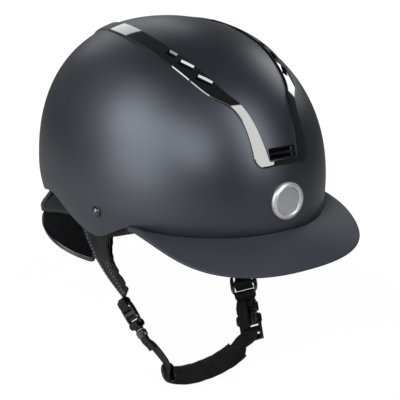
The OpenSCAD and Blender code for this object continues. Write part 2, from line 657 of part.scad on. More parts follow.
// The rear strap hangs under its anchor and ends on the inside of the ear guard
function guard_inside(z, draw) = guard_x(z, draw) - guard_t / 2 - web_t / 2 - 2 * soft_gap;
module rear_strap(draw) {
    start = [anchor_plan[0], anchor_plan[1], anchor_z - anchor_t - 0.4];
    route = [start, start - [0, 0, 2], start + [1.2, -4, -10], start + [4.4, -20, -23.6],
        start + [3.6, -42, -39.6], [guard_inside(-62, draw) - 7.5, 14, -62],
        [guard_inside(-68, draw) - 3.8, 1, -68], [guard_inside(-75, draw) - 2.6, -8, -75]];
    level = [0.76, -0.64, 0];
    webbing(route, [level, level, [0.5, -0.1, 0.5], [0.1, 0.5, 0.8], [0.1, 0.6, 0.7], [0.2, 0.62, 0.73],
        [0.28, 0.62, 0.73]], web_w - 4);
}
module rear_strap_left() {
    color([0.09, 0.09, 0.1]) rear_strap(guard_draw - left_shift[0]);
}
module rear_strap_right() {
    color([0.09, 0.09, 0.1]) mirror([1, 0, 0]) rear_strap(guard_draw);
}

// Rounded rectangle in the plane of the webbing
module rounded(w, h, r) {
    square([w - 2 * r, h], center = true);
    square([w, h - 2 * r], center = true);
    for (x = [-1, 1], y = [-1, 1]) translate([x * (w / 2 - r), y * (h / 2 - r)]) circle(r = r, $fn = 48);
}
module flat_plate(t) {
    rotate([90, 0, 0]) linear_extrude(t, center = true) children();
}

// Oval adjuster with three bars, whose lowest bar carries the chin strap
bar = 3;
web_slot = web_w + 1.4;
adjuster_up = (adjuster_h - bar) / 2;
module adjuster(turn) {
    window = (adjuster_h - 3 * bar) / 2;
    on_strap(-adjuster_up, turn) flat_plate(adjuster_t) difference() {
        rounded(adjuster_w, adjuster_h, 9);
        for (side = [-1, 1]) translate([0, side * (window + bar) / 2]) rounded(web_slot, window, 0.8);
    }
}
module adjuster_left() {
    color([0.06, 0.06, 0.065]) translate(left_shift) adjuster(turn_left);
}
module adjuster_right() {
    color([0.06, 0.06, 0.065]) mirror([1, 0, 0]) adjuster(turn_right);
}

// Webbing that comes up one side of a bar, turns over it and goes down the other side
bar_turn = bar * 0.7 + 0.35 + web_t / 2;
leg = web_t / 2 + 0.15;
leg_start = 4.6;
turn_angles = [0:30:180];
function turn_route(reach) =
    let(mid = (leg + bar_turn) / 2, down_leg = [[reach / 2, mid], [reach - 1, leg + 0.1], [reach, leg]])
    concat([for (p = reversed(down_leg)) [p[0], -p[1]]],
        [for (a = turn_angles) [-bar_turn * sin(a), -bar_turn * cos(a)]], down_leg);
module strap_loop(turn, leave) {
    route = turn_route(leg_start);
    n = len(route) - 1;
    function turned_to(i) = i < 2 || i > n - 2 ? leave : turn;
    webbing([for (i = [0:n]) strap_at(route[i][0], route[i][1], turned_to(i))],
        [for (i = [0:n]) wide(turned_to(i))]);
}
module strap_loop_left() {
    color([0.1, 0.1, 0.11]) translate(left_shift) strap_loop(turn_left, mix(turn_left, turn_buckle, 0.4));
}
module strap_loop_right() {
    color([0.1, 0.1, 0.11]) mirror([1, 0, 0]) strap_loop(turn_right, turn_keeper);
}

// The guard's loop hangs the adjuster by its top bar
guard_loop_up = 4;
module guard_loop(turn) {
    webbing([for (p = turn_route(guard_loop_up)) strap_at(-p[0] - 2 * adjuster_up, p[1], turn)],
        [wide(turn)], web_w - 5);
}
module guard_loop_left() {
    color([0.1, 0.1, 0.11]) translate(left_shift) guard_loop(turn_left);
}
module guard_loop_right() {
    color([0.1, 0.1, 0.11]) mirror([1, 0, 0]) guard_loop(turn_right);
}

// The main webbing runs from the right loop through the chin pad to the buckle's ladder bar
strap_gap = 0.3;
female_top = 18;
ladder_at = female_top + buckle_len + 5.1;
ladder_out = 1;
ladder_turn = bar / 2 + 0.35 + web_t / 2;
pad_route = [[-42.8, -61.4, -156.2], [-37.6, -62.4, -159.8], [-28, -62.6, -162.8], [-14, -61.8, -164.6],
    [0, -60.4, -165], [11, -59, -164.4], [20, -57.6, -163.2], [27, -56.2, -161.8], [32.2, -55.2, -160.2]];
pad_ways = [[0.3, 0.9, 0.3], [0.16, 0.93, 0.28], [0.04, 0.95, 0.26], [0, 0.96, 0.25]];
function pad_way(i) = pad_ways[min(i, len(pad_ways) - 1)];
side_route = [[-50.6, -47.9, -134.6], [-46.6, -54, -141.4], [-43.4, -58.8, -148.6]];
side_ways = [[0.212, 0.771, -0.601], [0.192, 0.82, -0.539], [0.204, 0.896, -0.395]];
module chin_strap() {
    top = [for (s = [leg_start + strap_gap, 10, 15.5]) flip(strap_at(s, -leg, turn_keeper))];
    loop = [for (a = [-90:27.5:130])
        left_at(ladder_at - ladder_turn * cos(a), ladder_out + ladder_turn * sin(a), turn_buckle)];
    route = concat(top, side_route, pad_route,
        [[37.2, -54.4, -154.6], left_at(ladder_at + 4.6, -2.7, turn_buckle)], loop);
    ways = concat([for (s = top) flip(wide(turn_keeper))], side_ways,
        [for (i = [0:len(pad_route) - 1]) pad_way(i)], [[0.2, 0.95, 0.1], wide(turn_buckle)]);
    color([0.1, 0.1, 0.11]) webbing(route, ways);
}
module strap_tail() {
    outside = flip(out(turn_keeper));
    tail = concat([for (s = [leg_start + strap_gap, 15.5]) flip(strap_at(s, leg, turn_keeper))],
        [side_route[0] + 2.3 * outside, mix(side_route[0], side_route[1], 0.42) + 2.5 * outside]);
    color([0.1, 0.1, 0.11]) webbing(tail, [flip(wide(turn_keeper))]);
}
keeper_at = 8.6;
keeper_len = 5;
keeper_wall = 1.3;
module strap_keeper() {
    inner = 2 * (leg + web_t / 2) + 0.5;
    color([0.06, 0.06, 0.065]) mirror([1, 0, 0]) on_strap(keeper_at, turn_keeper) difference() {
        cube([web_w + 0.8 + 2 * keeper_wall, inner + 2 * keeper_wall, keeper_len], center = true);
        cube([web_w + 0.8, inner, keeper_len + 1], center = true);
    }
}

// The chin pad is a sleeve, flatter at its ends, that the webbing runs through
pad_slot = 1.8;
module pad_sweep(w, t, taper, boxy, grow) {
    span = 2 * (len(pad_route) - 1);
    line = [for (i = [0:span]) mix(pad_route[floor(i / 2)], pad_route[ceil(i / 2)], 0.5)];
    skin([for (i = [0:span])
        let(d = along(line, i), h = mix(pad_way(floor(i / 2)), pad_way(ceil(i / 2)), 0.5),
            x = unit(h - (h * d) * d), n = cross(d, x), e = 1 - taper * pow(abs(2 * i / span - 1), 4),
            p = line[i] + (i == 0 ? -1 : i == span ? 1 : 0) * grow * d)
        [for (k = [0:11]) let(a = 30 * k, c = cos(a), s = sin(a))
            p + x * sign(c) * pow(abs(c), boxy) * w / 2 + n * sign(s) * pow(abs(s), boxy) * t / 2 * e]]);
}
module chin_pad() {
    color([0.13, 0.13, 0.13]) difference() {
        pad_sweep(chin_pad_w, chin_pad_t, 0.2, 0.86, 0);
        pad_sweep(web_w + 1.8, web_t + pad_slot, 0, 0.3, 3);
    }
}

// Side-release buckle
frame_t = 3;
tab_len = 4.2;
throat_w = buckle_w - 4.2;
throat_t = 4.6;
prong_t = 2.4;
prong_h = 3;
prong_root = female_top - 2.6;
prong_x = throat_w / 2 - 0.2 - prong_t / 2;
prong_len = 10.6;
barb_from = 6.6;
barb = 1.6;
male_from = 8.2;
male_to = female_top - 0.8;
male_t = 3.6;
module buckle_female() {
    frame_from = female_top + buckle_len - 1;
    frame_to = ladder_at + bar / 2 + 3 + tab_len;
    color([0.06, 0.06, 0.065]) on_left(0, turn_buckle) {
        difference() {
            translate([0, 0, female_top + buckle_len / 2])
                flat_plate(buckle_t) rounded(buckle_w, buckle_len, 3);
            translate([0, 0, female_top + 4]) cube([throat_w, throat_t, 9.2], center = true);
            translate([0, 0, prong_root + barb_from + 2.2])
                cube([buckle_w + 2, throat_t, 4.8], center = true);
        }
        translate([0, ladder_out, 0]) {
            difference() {
                translate([0, 0, (frame_from + frame_to) / 2])
                    flat_plate(frame_t) rounded(buckle_w, frame_to - frame_from, 1);
                translate([0, 0, (frame_from + 1.3 + frame_to - tab_len) / 2])
                    cube([web_slot, frame_t + 1, frame_to - tab_len - frame_from - 1.3], center = true);
            }
            translate([0, 0, ladder_at]) rotate([0, 90, 0])
                cylinder(d = frame_t - 0.2, h = (buckle_w + web_slot) / 2, center = true, $fn = 48);
            translate([0, frame_t / 2 + 0.7, frame_to - 1]) cube([buckle_w - 2, 1.6, 2], center = true);
        }
    }
}
module buckle_male() {
    color([0.06, 0.06, 0.065]) on_left(0, turn_buckle) {
        difference() {
            translate([0, 0, (male_from + male_to) / 2])
                flat_plate(male_t) rounded(buckle_w, male_to - male_from, 2);
            translate([0, 0, male_from + bar + 1.4]) cube([web_slot, male_t + 2, 2.8], center = true);
            for (side = [-1, 1]) translate([side * prong_x, 0, prong_root]) {
                rotate([90, 0, 0]) cylinder(d = prong_t + 0.12, h = male_t + 2, center = true, $fn = 48);
                translate([-side * 0.2, 0, 1.4]) cube([prong_t + 0.7, male_t + 2, 2.8], center = true);
            }
        }
        translate([0, 0, (male_to + female_top + 6.4) / 2])
            cube([5, 2.6, female_top + 7.4 - male_to], center = true);
    }
}
module latch_prong(side) {
    on_left(prong_root, turn_buckle) mirror([side < 0 ? 1 : 0, 0, 0]) translate([prong_x, 0, 0])
        rotate([90, 0, 0]) linear_extrude(prong_h, center = true) {
            circle(d = prong_t, $fn = 48);
            translate([-prong_t / 2, 0]) square([prong_t, prong_len]);
            polygon([[0, barb_from], [prong_t / 2 + barb, barb_from], [prong_t / 2 + barb, prong_len - 2.2],
                [0, prong_len]]);
        }
}
module latch_prong_front() {
    color([0.06, 0.06, 0.065]) latch_prong(-1);
}
module latch_prong_rear() {
    color([0.06, 0.06, 0.065]) latch_prong(1);
}

// Short webbing round the male half's bar, and the flap that backs the buckle
male_turn = 3.1;
flap_w = web_w - 5;
module buckle_strap() {
    start = leg_start + strap_gap;
    centre = male_from + bar / 2;
    behind = -buckle_t / 2 - 1.5;
    flap = [[5.2, -3], [7.4, -5], [12, behind], [20, behind], [27, behind + 0.3]];
    loop = concat([[start, -leg], [start + 0.6, -leg - 0.1], [start + 2.4, -2.6]],
        [for (a = turn_angles) [centre + male_turn * sin(a), -male_turn * cos(a)]],
        [[start + 2.4, 2.6], [start + 0.6, leg + 0.1], [start, leg]]);
    color([0.1, 0.1, 0.11]) {
        webbing([for (p = loop) left_at(p[0], p[1], turn_buckle)], [wide(turn_buckle)]);
        webbing([for (p = flap) left_at(p[0], p[1], turn_buckle)], [wide(turn_buckle)], flap_w);
    }
}

outer_shell();
visor();
visor_screws();
trim_frame();
vent_louver();
badge_ring();
badge_disc();
impact_liner();
crown_pad();
brow_pad();
side_pad_right();
side_pad_left();
nape_panel();
nape_pad();
nape_piping();
strap_rivets();
rivet_washers();
ear_guard_right();
ear_guard_left();
front_strap_right();
front_strap_left();
rear_strap_right();
rear_strap_left();
rear_anchors();
guard_loop_right();
guard_loop_left();
adjuster_right();
adjuster_left();
strap_loop_right();
strap_loop_left();
chin_strap();
strap_tail();
strap_keeper();
chin_pad();
buckle_female();
buckle_strap();
buckle_male();
latch_prong_front();
latch_prong_rear();
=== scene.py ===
"""Riding helmet: its visible pieces, their finishes and the studio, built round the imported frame."""

import logging
import math
from contextlib import contextmanager
from dataclasses import dataclass
from enum import Enum
from typing import Callable, Iterator, Mapping, Optional, Sequence

import bmesh
import bpy
import numpy as np
from mathutils import Matrix, Vector


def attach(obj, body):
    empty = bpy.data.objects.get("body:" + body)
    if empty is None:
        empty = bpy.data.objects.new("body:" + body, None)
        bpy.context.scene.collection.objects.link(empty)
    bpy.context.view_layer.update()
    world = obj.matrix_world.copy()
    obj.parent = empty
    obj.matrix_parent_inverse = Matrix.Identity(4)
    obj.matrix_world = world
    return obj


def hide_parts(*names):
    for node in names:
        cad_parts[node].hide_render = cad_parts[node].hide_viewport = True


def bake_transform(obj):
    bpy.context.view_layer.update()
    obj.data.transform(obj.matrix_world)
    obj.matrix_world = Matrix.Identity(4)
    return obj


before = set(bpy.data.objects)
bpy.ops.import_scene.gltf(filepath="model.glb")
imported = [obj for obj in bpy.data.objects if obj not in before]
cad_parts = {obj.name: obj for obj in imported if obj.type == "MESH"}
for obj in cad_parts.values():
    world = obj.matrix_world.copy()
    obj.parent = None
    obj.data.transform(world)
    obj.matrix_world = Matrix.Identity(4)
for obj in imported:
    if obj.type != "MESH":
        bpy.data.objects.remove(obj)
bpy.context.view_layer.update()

LOG = logging.getLogger("helmet")
MM = 0.001
BEVEL_STEPS = 3
BEVEL_ANGLE = 35.0
FLAT_ANGLE = 1.0
HARD_ANGLE = 28.0
UV_NAME = "strap"
ROUGH_SPREAD = 0.04
CLOTH_FRAMES = 14
CLOTH_QUALITY = 5
ALL_SMOOTH = 180.0
WEBBING_THICKNESS = 1.4
Array = np.ndarray
Size = tuple[float, float, float, float]
RGB = tuple[float, float, float]
Socket = bpy.types.NodeSocket
Given = Mapping[str, Socket]
ROOT = "helmet"


# ---- Form of the helmet -------------------------------------------------------------------


def unit(v: Array) -> Array:
    """Gives vectors the length 1, along the last axis."""
    return v / np.linalg.norm(v, axis=-1, keepdims=True)


def mix(a: Array, b: Array, t: Array) -> Array:
    """Blends linearly from a to b."""
    return a + (b - a) * t


def ease(t: Array) -> Array:
    """Smooth step from 0 to 1."""
    u = np.clip(t, 0, 1)
    return u * u * (3 - 2 * u)


def bow(x: float, power: float) -> float:
    """Raises a number to a power and keeps its sign."""
    return math.copysign(abs(x) ** power, x)


def spline(points: Array, count: int) -> Array:
    """Runs a Catmull-Rom curve through points, with even steps of its length.

    Args:
        points: Rows of coordinates, of any width.
        count: How many points to return.

    Returns:
        The points on the curve, first and last included.
    """
    p = np.asarray(points, float)
    if len(p) < 3:
        return np.array([mix(p[0], p[-1], t) for t in np.linspace(0, 1, count)])
    q = np.vstack([2 * p[0] - p[1], p, 2 * p[-1] - p[-2]])
    fine, per = [], 24
    for i in range(1, len(q) - 2):
        d = [max(np.linalg.norm(q[i + k][:3] - q[i + k - 1][:3]), 1e-6) ** 0.5 for k in (0, 1, 2)]
        m1 = (q[i] - q[i - 1]) / d[0] - (q[i + 1] - q[i - 1]) / (d[0] + d[1]) + (q[i + 1] - q[i]) / d[1]
        m2 = (q[i + 1] - q[i]) / d[1] - (q[i + 2] - q[i]) / (d[1] + d[2]) + (q[i + 2] - q[i + 1]) / d[2]
        for f in np.arange(per) / per:
            h = (2 * f**3 - 3 * f**2 + 1, f**3 - 2 * f**2 + f, 3 * f**2 - 2 * f**3, f**3 - f**2)
            fine.append(h[0] * q[i] + h[1] * m1 * d[1] + h[2] * q[i + 1] + h[3] * m2 * d[1])
    fine = np.array(fine + [q[-2]])
    run = np.concatenate([[0], np.cumsum(np.linalg.norm(np.diff(fine[:, :3], axis=0), axis=1))])
    at = np.linspace(0, run[-1], count)
    return np.stack([np.interp(at, run, fine[:, k]) for k in range(fine.shape[1])], 1)


@dataclass(frozen=True)
class HelmetForm:
    """Sizes of the shell in millimetres, and the surfaces that they describe."""

    half_width: float = 107.0
    front: float = 148.4
    rear: float = 128.6
    crown: float = 121.5
    wall: float = 3.0
    profile_power: float = 2.27
    front_power: float = 1.95
    rear_power: float = 2.12
    crown_shift: float = 4.4
    side_tuck: float = 0.6
    edge_depth: float = 13.0
    front_extra: float = 3.0
    lobe_depth: float = 20.0
    lobe_angle: float = 70.0
    nape_extra: float = 17.0
    liner_gap: float = 0.7
    liner_lift: float = 5.0
    liner_walls: Size = (24.0, 36.0, 32.0, 30.0)

    def size(self, inset: float = 0.0) -> Size:
        """Half width, front, rear and height of the dome at a distance inside the shell."""
        return (self.half_width - inset, self.front - inset, self.rear - inset, self.crown - inset)

    def cavity(self, inset: float = 0.0) -> Size:
        """The same four sizes of the liner's inner face."""
        return tuple(s - w - inset for s, w in zip(self.size(), self.liner_walls))

    def plan(self, a: Array, size: Size) -> Array:
        """Distance from the axis to the plan outline at an angle from the front, in degrees.

        Args:
            a: Angle from the front, in degrees.
            size: Half width, front, rear and height of the dome.

        Returns:
            The distance in millimetres.
        """
        s, c = np.abs(np.sin(np.radians(a))), np.cos(np.radians(a))
        reach = np.where(c >= 0, size[1], size[2])
        p = np.where(c >= 0, self.front_power, self.rear_power)
        return ((s / size[0]) ** p + (np.abs(c) / reach) ** p) ** (-1 / p)

    def girth(self, z: Array, size: Size) -> Array:
        """Share of the plan that is left at a height.

        Args:
            z: Height in millimetres.
            size: Half width, front, rear and height of the dome.

        Returns:
            The share, 1 at the widest level.
        """
        z = np.asarray(z, float)
        up = np.clip(z / size[3], 0, 1)
        top = np.maximum(0, 1 - up**self.profile_power) ** (1 / self.profile_power)
        return np.where(z >= 0, top, 1 - self.side_tuck * (z / 100) ** 2)

    def dome(self, a: Array, z: Array, size: Size) -> Array:
        """Points on a dome at angles from the front and heights.

        Args:
            a: Angle from the front, in degrees.
            z: Height in millimetres.
            size: Half width, front, rear and height of the dome.

        Returns:
            Points in millimetres.
        """
        a, z = np.broadcast_arrays(np.asarray(a, float), np.asarray(z, float))
        g = self.girth(z, size)
        r = self.plan(a, size) * g
        x, y = r * np.sin(np.radians(a)), -r * np.cos(np.radians(a)) + self.crown_shift * (1 - g)
        return np.stack([x, y, z], -1)

    def dome_normal(self, a: float, z: float, size: Size) -> Array:
        """Outward direction of a dome at one point.

        Args:
            a: Angle from the front, in degrees.
            z: Height in millimetres.
            size: Half width, front, rear and height of the dome.

        Returns:
            The direction, of length 1.
        """
        across = self.dome(a + 0.5, z, size) - self.dome(a - 0.5, z, size)
        n = unit(np.cross(across, self.dome(a, z + 0.5, size) - self.dome(a, z - 0.5, size)))
        return n * np.sign(n @ self.dome(a, z, size))

    def ridge(self, x: Array, rise: Array, size: Size) -> Array:
        """Points of a dome in the planes X = x, where a ray that rises by an angle meets it.

        Args:
            x: Distance from the middle plane.
            rise: Angle above the front.
            size: Half width, front, rear and height of the dome.

        Returns:
            Points in millimetres.
        """
        x, rise = np.broadcast_arrays(np.asarray(x, float), np.radians(np.asarray(rise, float)))
        near, far = np.full(x.shape, 40.0), np.full(x.shape, 180.0)
        for _ in range(30):
            m = (near + far) / 2
            y, z = -m * np.cos(rise), m * np.sin(rise)
            g = np.maximum(self.girth(z, size), 1e-9)
            yy = y - self.crown_shift * (1 - g)
            reach = np.where(yy < 0, size[1], size[2])
            k = np.where(yy < 0, self.front_power, self.rear_power)
            held = (z < size[3]) & ((np.abs(x) / size[0] / g) ** k + (np.abs(yy) / reach / g) ** k < 1)
            near, far = np.where(held, m, near), np.where(held, far, m)
        m = (near + far) / 2
        return np.stack([x, -m * np.cos(rise), m * np.sin(rise)], -1)

    def ridge_normal(self, x: float, rise: float, size: Size) -> Array:
        """Outward direction of a dome at a point of its ridge grid.

        Args:
            x: Distance from the middle plane.
            rise: Angle above the front.
            size: Half width, front, rear and height of the dome.

        Returns:
            The direction, of length 1.
        """
        a = self.ridge(x + 0.5, rise, size) - self.ridge(x - 0.5, rise, size)
        n = unit(np.cross(a, self.ridge(x, rise + 0.4, size) - self.ridge(x, rise - 0.4, size)))
        return n * np.sign(n @ self.ridge(x, rise, size))

    def rim_depth(self, a: Array) -> Array:
        """Depth of the liner's rim at an angle from the front, before it is lifted.

        Args:
            a: Angle from the front, in degrees.

        Returns:
            The depth in millimetres.
        """
        b = np.abs(np.where(a > 180, 360 - a, a))
        half = np.where(b < self.lobe_angle, 25.0, 31.0)
        near = np.abs(b - self.lobe_angle) / half
        lobe = np.where(near < 1, (1 + np.cos(np.pi * near)) / 2, 0)
        return self.edge_depth + self.front_extra * (1 - ease((b - 38) / 10)) + self.lobe_depth * lobe

    def edge_depth_at(self, a: Array) -> Array:
        """Depth of the shell's lower edge, which also drops at the nape."""
        b = np.abs(np.where(a > 180, 360 - a, a))
        return self.rim_depth(a) + self.nape_extra * ease((b - 98) / 40)


FORM = HelmetForm()


# ---- Meshes ------------------------------------------------------------------------------------


def flip(p: Array, side: int = -1) -> Array:
    """Mirrors points to the other side of the helmet, if side is -1."""
    return np.asarray(p, float) * np.array([side, 1.0, 1.0])


def link(name: str, data: bpy.types.ID) -> bpy.types.Object:
    """Makes an object of some data and links it to the scene.

    Args:
        name: Name of the object.
        data: Its mesh, light or camera.

    Returns:
        The object.
    """
    obj = bpy.data.objects.new(name, data)
    bpy.context.scene.collection.objects.link(obj)
    return obj


@contextmanager
def editing(mesh: bpy.types.Mesh) -> Iterator[bmesh.types.BMesh]:
    """Opens a mesh for editing and writes it back at the end.

    Args:
        mesh: The mesh.

    Yields:
        The mesh, opened for editing.
    """
    bm = bmesh.new()
    bm.from_mesh(mesh)
    yield bm
    bm.to_mesh(mesh)
    bm.free()


def add_object(name: str, verts: Array, faces: Sequence[Sequence[int]],
               uv: Optional[Array] = None, sharp: float = 40.0) -> bpy.types.Object:
    """Makes a closed mesh object from points in millimetres, with its faces turned outwards.

    Args:
        name: Name of the piece.
        verts: Points in millimetres.
        faces: Loops of point numbers.
        uv: A UV place for each corner of each face, in metres over the surface.
        sharp: Edges that turn by more degrees than this stay crisp.

    Returns:
        The object, linked to the scene.
    """
    mesh = bpy.data.meshes.new(name)
    places = (np.asarray(verts, float) * MM).tolist()
    mesh.from_pydata(places, [], [list(map(int, f)) for f in faces])
    if uv is not None:
        mesh.uv_layers.new(name=UV_NAME).data.foreach_set("uv", np.asarray(uv, np.float32).ravel())
    with editing(mesh) as bm:
        bmesh.ops.recalc_face_normals(bm, faces=bm.faces)
        soften(bm, sharp)
    return link(name, mesh)


def soften(bm: bmesh.types.BMesh, sharp: float) -> None:
    """Shades faces smoothly, and keeps edges crisp that turn by more degrees than sharp.

    Args:
        bm: The mesh, opened for editing.
        sharp: The turn in degrees.
    """
    for f in bm.faces:
        f.smooth = True
    for e in bm.edges:
        e.smooth = len(e.link_faces) == 2 and e.calc_face_angle(0) < math.radians(sharp)


def loft(name: str, rings: Array, closed: bool = False, uv: Optional[Array] = None,
         sharp: float = 40.0) -> bpy.types.Object:
    """Joins rings of points into a tube, capped at its ends unless it closes on itself.

    Args:
        name: Name of the piece.
        rings: Array of rings, points and coordinates in millimetres.
        closed: Whether the last ring joins the first.
        uv: UV places for each ring and point, in metres.
        sharp: Edges that turn by more degrees than this stay crisp.

    Returns:
        The object.
    """
    m, n = rings.shape[:2]
    faces, corners = [], []
    for i in range(m if closed else m - 1):
        for j in range(n):
            quad = [(i, j), ((i + 1) % m, j), ((i + 1) % m, (j + 1) % n), (i, (j + 1) % n)]
            faces.append([a * n + b for a, b in quad])
            corners += quad
    if not closed:
        for i in (0, m - 1):
            faces.append([i * n + j for j in range(n)])
            corners += [(i, j) for j in range(n)]
    places = None if uv is None else np.array([uv[a, b] for a, b in corners])
    return add_object(name, rings.reshape(-1, 3), faces, places, sharp)


def slab(name: str, top: Array, under: Array, uv: Optional[Array] = None,
         sharp: float = 50.0) -> bpy.types.Object:
    """Makes a closed piece between two grids of points with equal rows and columns.

    Args:
        name: Name of the piece.
        top: One grid, in millimetres.
        under: The other grid.
        uv: A UV place for each point of a grid, in metres.
        sharp: Edges that turn by more degrees than this stay crisp.

    Returns:
        The object.
    """
    r, c = top.shape[:2]
    s = r * c
    cells = [(i, j) for i in range(r - 1) for j in range(c - 1)]
    faces = [[i * c + j, i * c + j + 1, (i + 1) * c + j + 1, (i + 1) * c + j] for i, j in cells]
    faces += [[s + k for k in reversed(f)] for f in faces]
    rim = [j for j in range(c)] + [i * c + c - 1 for i in range(1, r)]
    rim += [(r - 1) * c + j for j in range(c - 2, -1, -1)] + [i * c for i in range(r - 2, 0, -1)]
    faces += [[a, s + a, s + b, b] for a, b in zip(rim, rim[1:] + rim[:1])]
    places = None
    if uv is not None:
        flat = uv.reshape(-1, 2)
        places = np.array([flat[k % s] for f in faces for k in f])
    return add_object(name, np.vstack([top.reshape(-1, 3), under.reshape(-1, 3)]), faces, places, sharp)


def revolve(name: str, profile: Sequence[tuple[float, float]], seat: Array, way: Array,
            steps: int = 72) -> bpy.types.Object:
    """Turns a profile of radius and height about an axis through a point.

    Args:
        name: Name of the piece.
        profile: Pairs of radius and height. It closes on itself, or starts and ends on the axis.
        seat: The point in millimetres.
        way: The axis, outwards.
        steps: How many sides the piece has.

    Returns:
        The object.
    """
    z = unit(np.asarray(way, float))
    x = unit(np.cross([0, 0, 1.0], z))
    y = np.cross(z, x)
    a = np.linspace(0, 2 * np.pi, steps, endpoint=False)
    solid = profile[0][0] < 1e-6
    body = profile[1:-1] if solid else profile
    rings = [[seat + r * (np.cos(t) * x + np.sin(t) * y) + h * z for r, h in body] for t in a]
    rings, n = np.array(rings), len(body)
    if not solid:
        return loft(name, rings, closed=True, sharp=HARD_ANGLE)
    verts = np.vstack([rings.reshape(-1, 3), [seat + profile[0][1] * z, seat + profile[-1][1] * z]])
    faces = [[i * n + j, ((i + 1) % steps) * n + j, ((i + 1) % steps) * n + j + 1, i * n + j + 1]
             for i in range(steps) for j in range(n - 1)]
    low, high = steps * n, steps * n + 1
    faces += [[low, i * n, ((i + 1) % steps) * n] for i in range(steps)]
    faces += [[high, i * n + n - 1, ((i + 1) % steps) * n + n - 1] for i in range(steps)]
    return add_object(name, verts, faces, sharp=HARD_ANGLE)


def apply_modifiers(obj: bpy.types.Object) -> bpy.types.Object:
    """Turns what the modifiers make into the object's own plain mesh.

    Args:
        obj: The piece.

    Returns:
        The piece with its new mesh.
    """
    graph = bpy.context.evaluated_depsgraph_get()
    mesh = bpy.data.meshes.new_from_object(obj.evaluated_get(graph), depsgraph=graph)
    obj.modifiers.clear()
    old, obj.data = obj.data, mesh
    mesh.name = obj.name
    if old.users == 0:
        bpy.data.meshes.remove(old)
    return obj


def cut(obj: bpy.types.Object, cutters: Sequence[bpy.types.Object]) -> bpy.types.Object:
    """Cuts the cutters out of a piece and removes them.

    Args:
        obj: The piece.
        cutters: Closed solids.

    Returns:
        The piece with its new mesh.
    """
    for tool in cutters:
        m = obj.modifiers.new("cut", "BOOLEAN")
        m.operation, m.solver, m.object = "DIFFERENCE", "EXACT", tool
    apply_modifiers(obj)
    for tool in cutters:
        bpy.data.objects.remove(tool)
    return obj


def bevel(obj: bpy.types.Object, width: float) -> bpy.types.Object:
    """Rounds the sharp edges of a hard piece by a width in millimetres.

    Args:
        obj: The piece.
        width: The width.

    Returns:
        The piece with its new mesh.
    """
    m = obj.modifiers.new("bevel", "BEVEL")
    m.width, m.segments, m.use_clamp_overlap = width * MM, BEVEL_STEPS, True
    m.limit_method, m.angle_limit = "ANGLE", math.radians(BEVEL_ANGLE)
    return apply_modifiers(obj)


def resharpen(obj: bpy.types.Object, sharp: float) -> bpy.types.Object:
    """Sets smooth and crisp edges anew after a piece was cut or bevelled.

    Args:
        obj: The piece.
        sharp: Edges that turn by more degrees than this stay crisp.

    Returns:
        The piece.
    """
    with editing(obj.data) as bm:
        soften(bm, sharp)
    return obj


def frame_matrix(seat: Array, z_way: Array, x_way: Array) -> Matrix:
    """Matrix that puts a local frame in millimetres at a point with given Z and X directions.

    Args:
        seat: The point.
        z_way: Direction of Z.
        x_way: Direction of X, which is turned square to Z.

    Returns:
        The matrix.
    """
    z = unit(np.asarray(z_way, float))
    x = np.asarray(x_way, float)
    x = unit(x - (x @ z) * z)
    m = np.eye(4)
    m[:3, 0], m[:3, 1], m[:3, 2], m[:3, 3] = x, np.cross(z, x), z, seat
    return Matrix(m.tolist())


def prism(name: str, outline: Array, low: float, high: float, place: Matrix) -> bpy.types.Object:
    """Extrudes an outline between two heights of a local frame.

    Args:
        name: Name of the piece.
        outline: Rows of X and Y in millimetres.
        low: The lower height.
        high: The upper height.
        place: Matrix of the local frame.

    Returns:
        The object.
    """
    n = len(outline)
    verts = [(*p, h) for h in (low, high) for p in outline]
    faces = [list(range(n)), list(range(n, 2 * n))]
    faces += [[i, (i + 1) % n, n + (i + 1) % n, n + i] for i in range(n)]
    rot = np.array(place)
    moved = np.array(verts) @ rot[:3, :3].T + rot[:3, 3]
    return add_object(name, moved, faces)


def rounded_box(w: float, h: float, r: float, steps: int = 8) -> Array:
    """Outline of a rectangle with round corners.

    Args:
        w: Its width.
        h: Its height.
        r: Radius of the corners.
        steps: Points on each corner.

    Returns:
        Rows of X and Y.
    """
    turn = np.radians(np.linspace(0, 90, steps))
    out = []
    for k, (sx, sy) in enumerate(((1, 1), (-1, 1), (-1, -1), (1, -1))):
        a = turn + k * np.pi / 2
        out += [(sx * (w / 2 - r) + r * math.cos(t), sy * (h / 2 - r) + r * math.sin(t)) for t in a]
    return np.array(out)


# ---- Finishes ----------------------------------------------------------------------------------


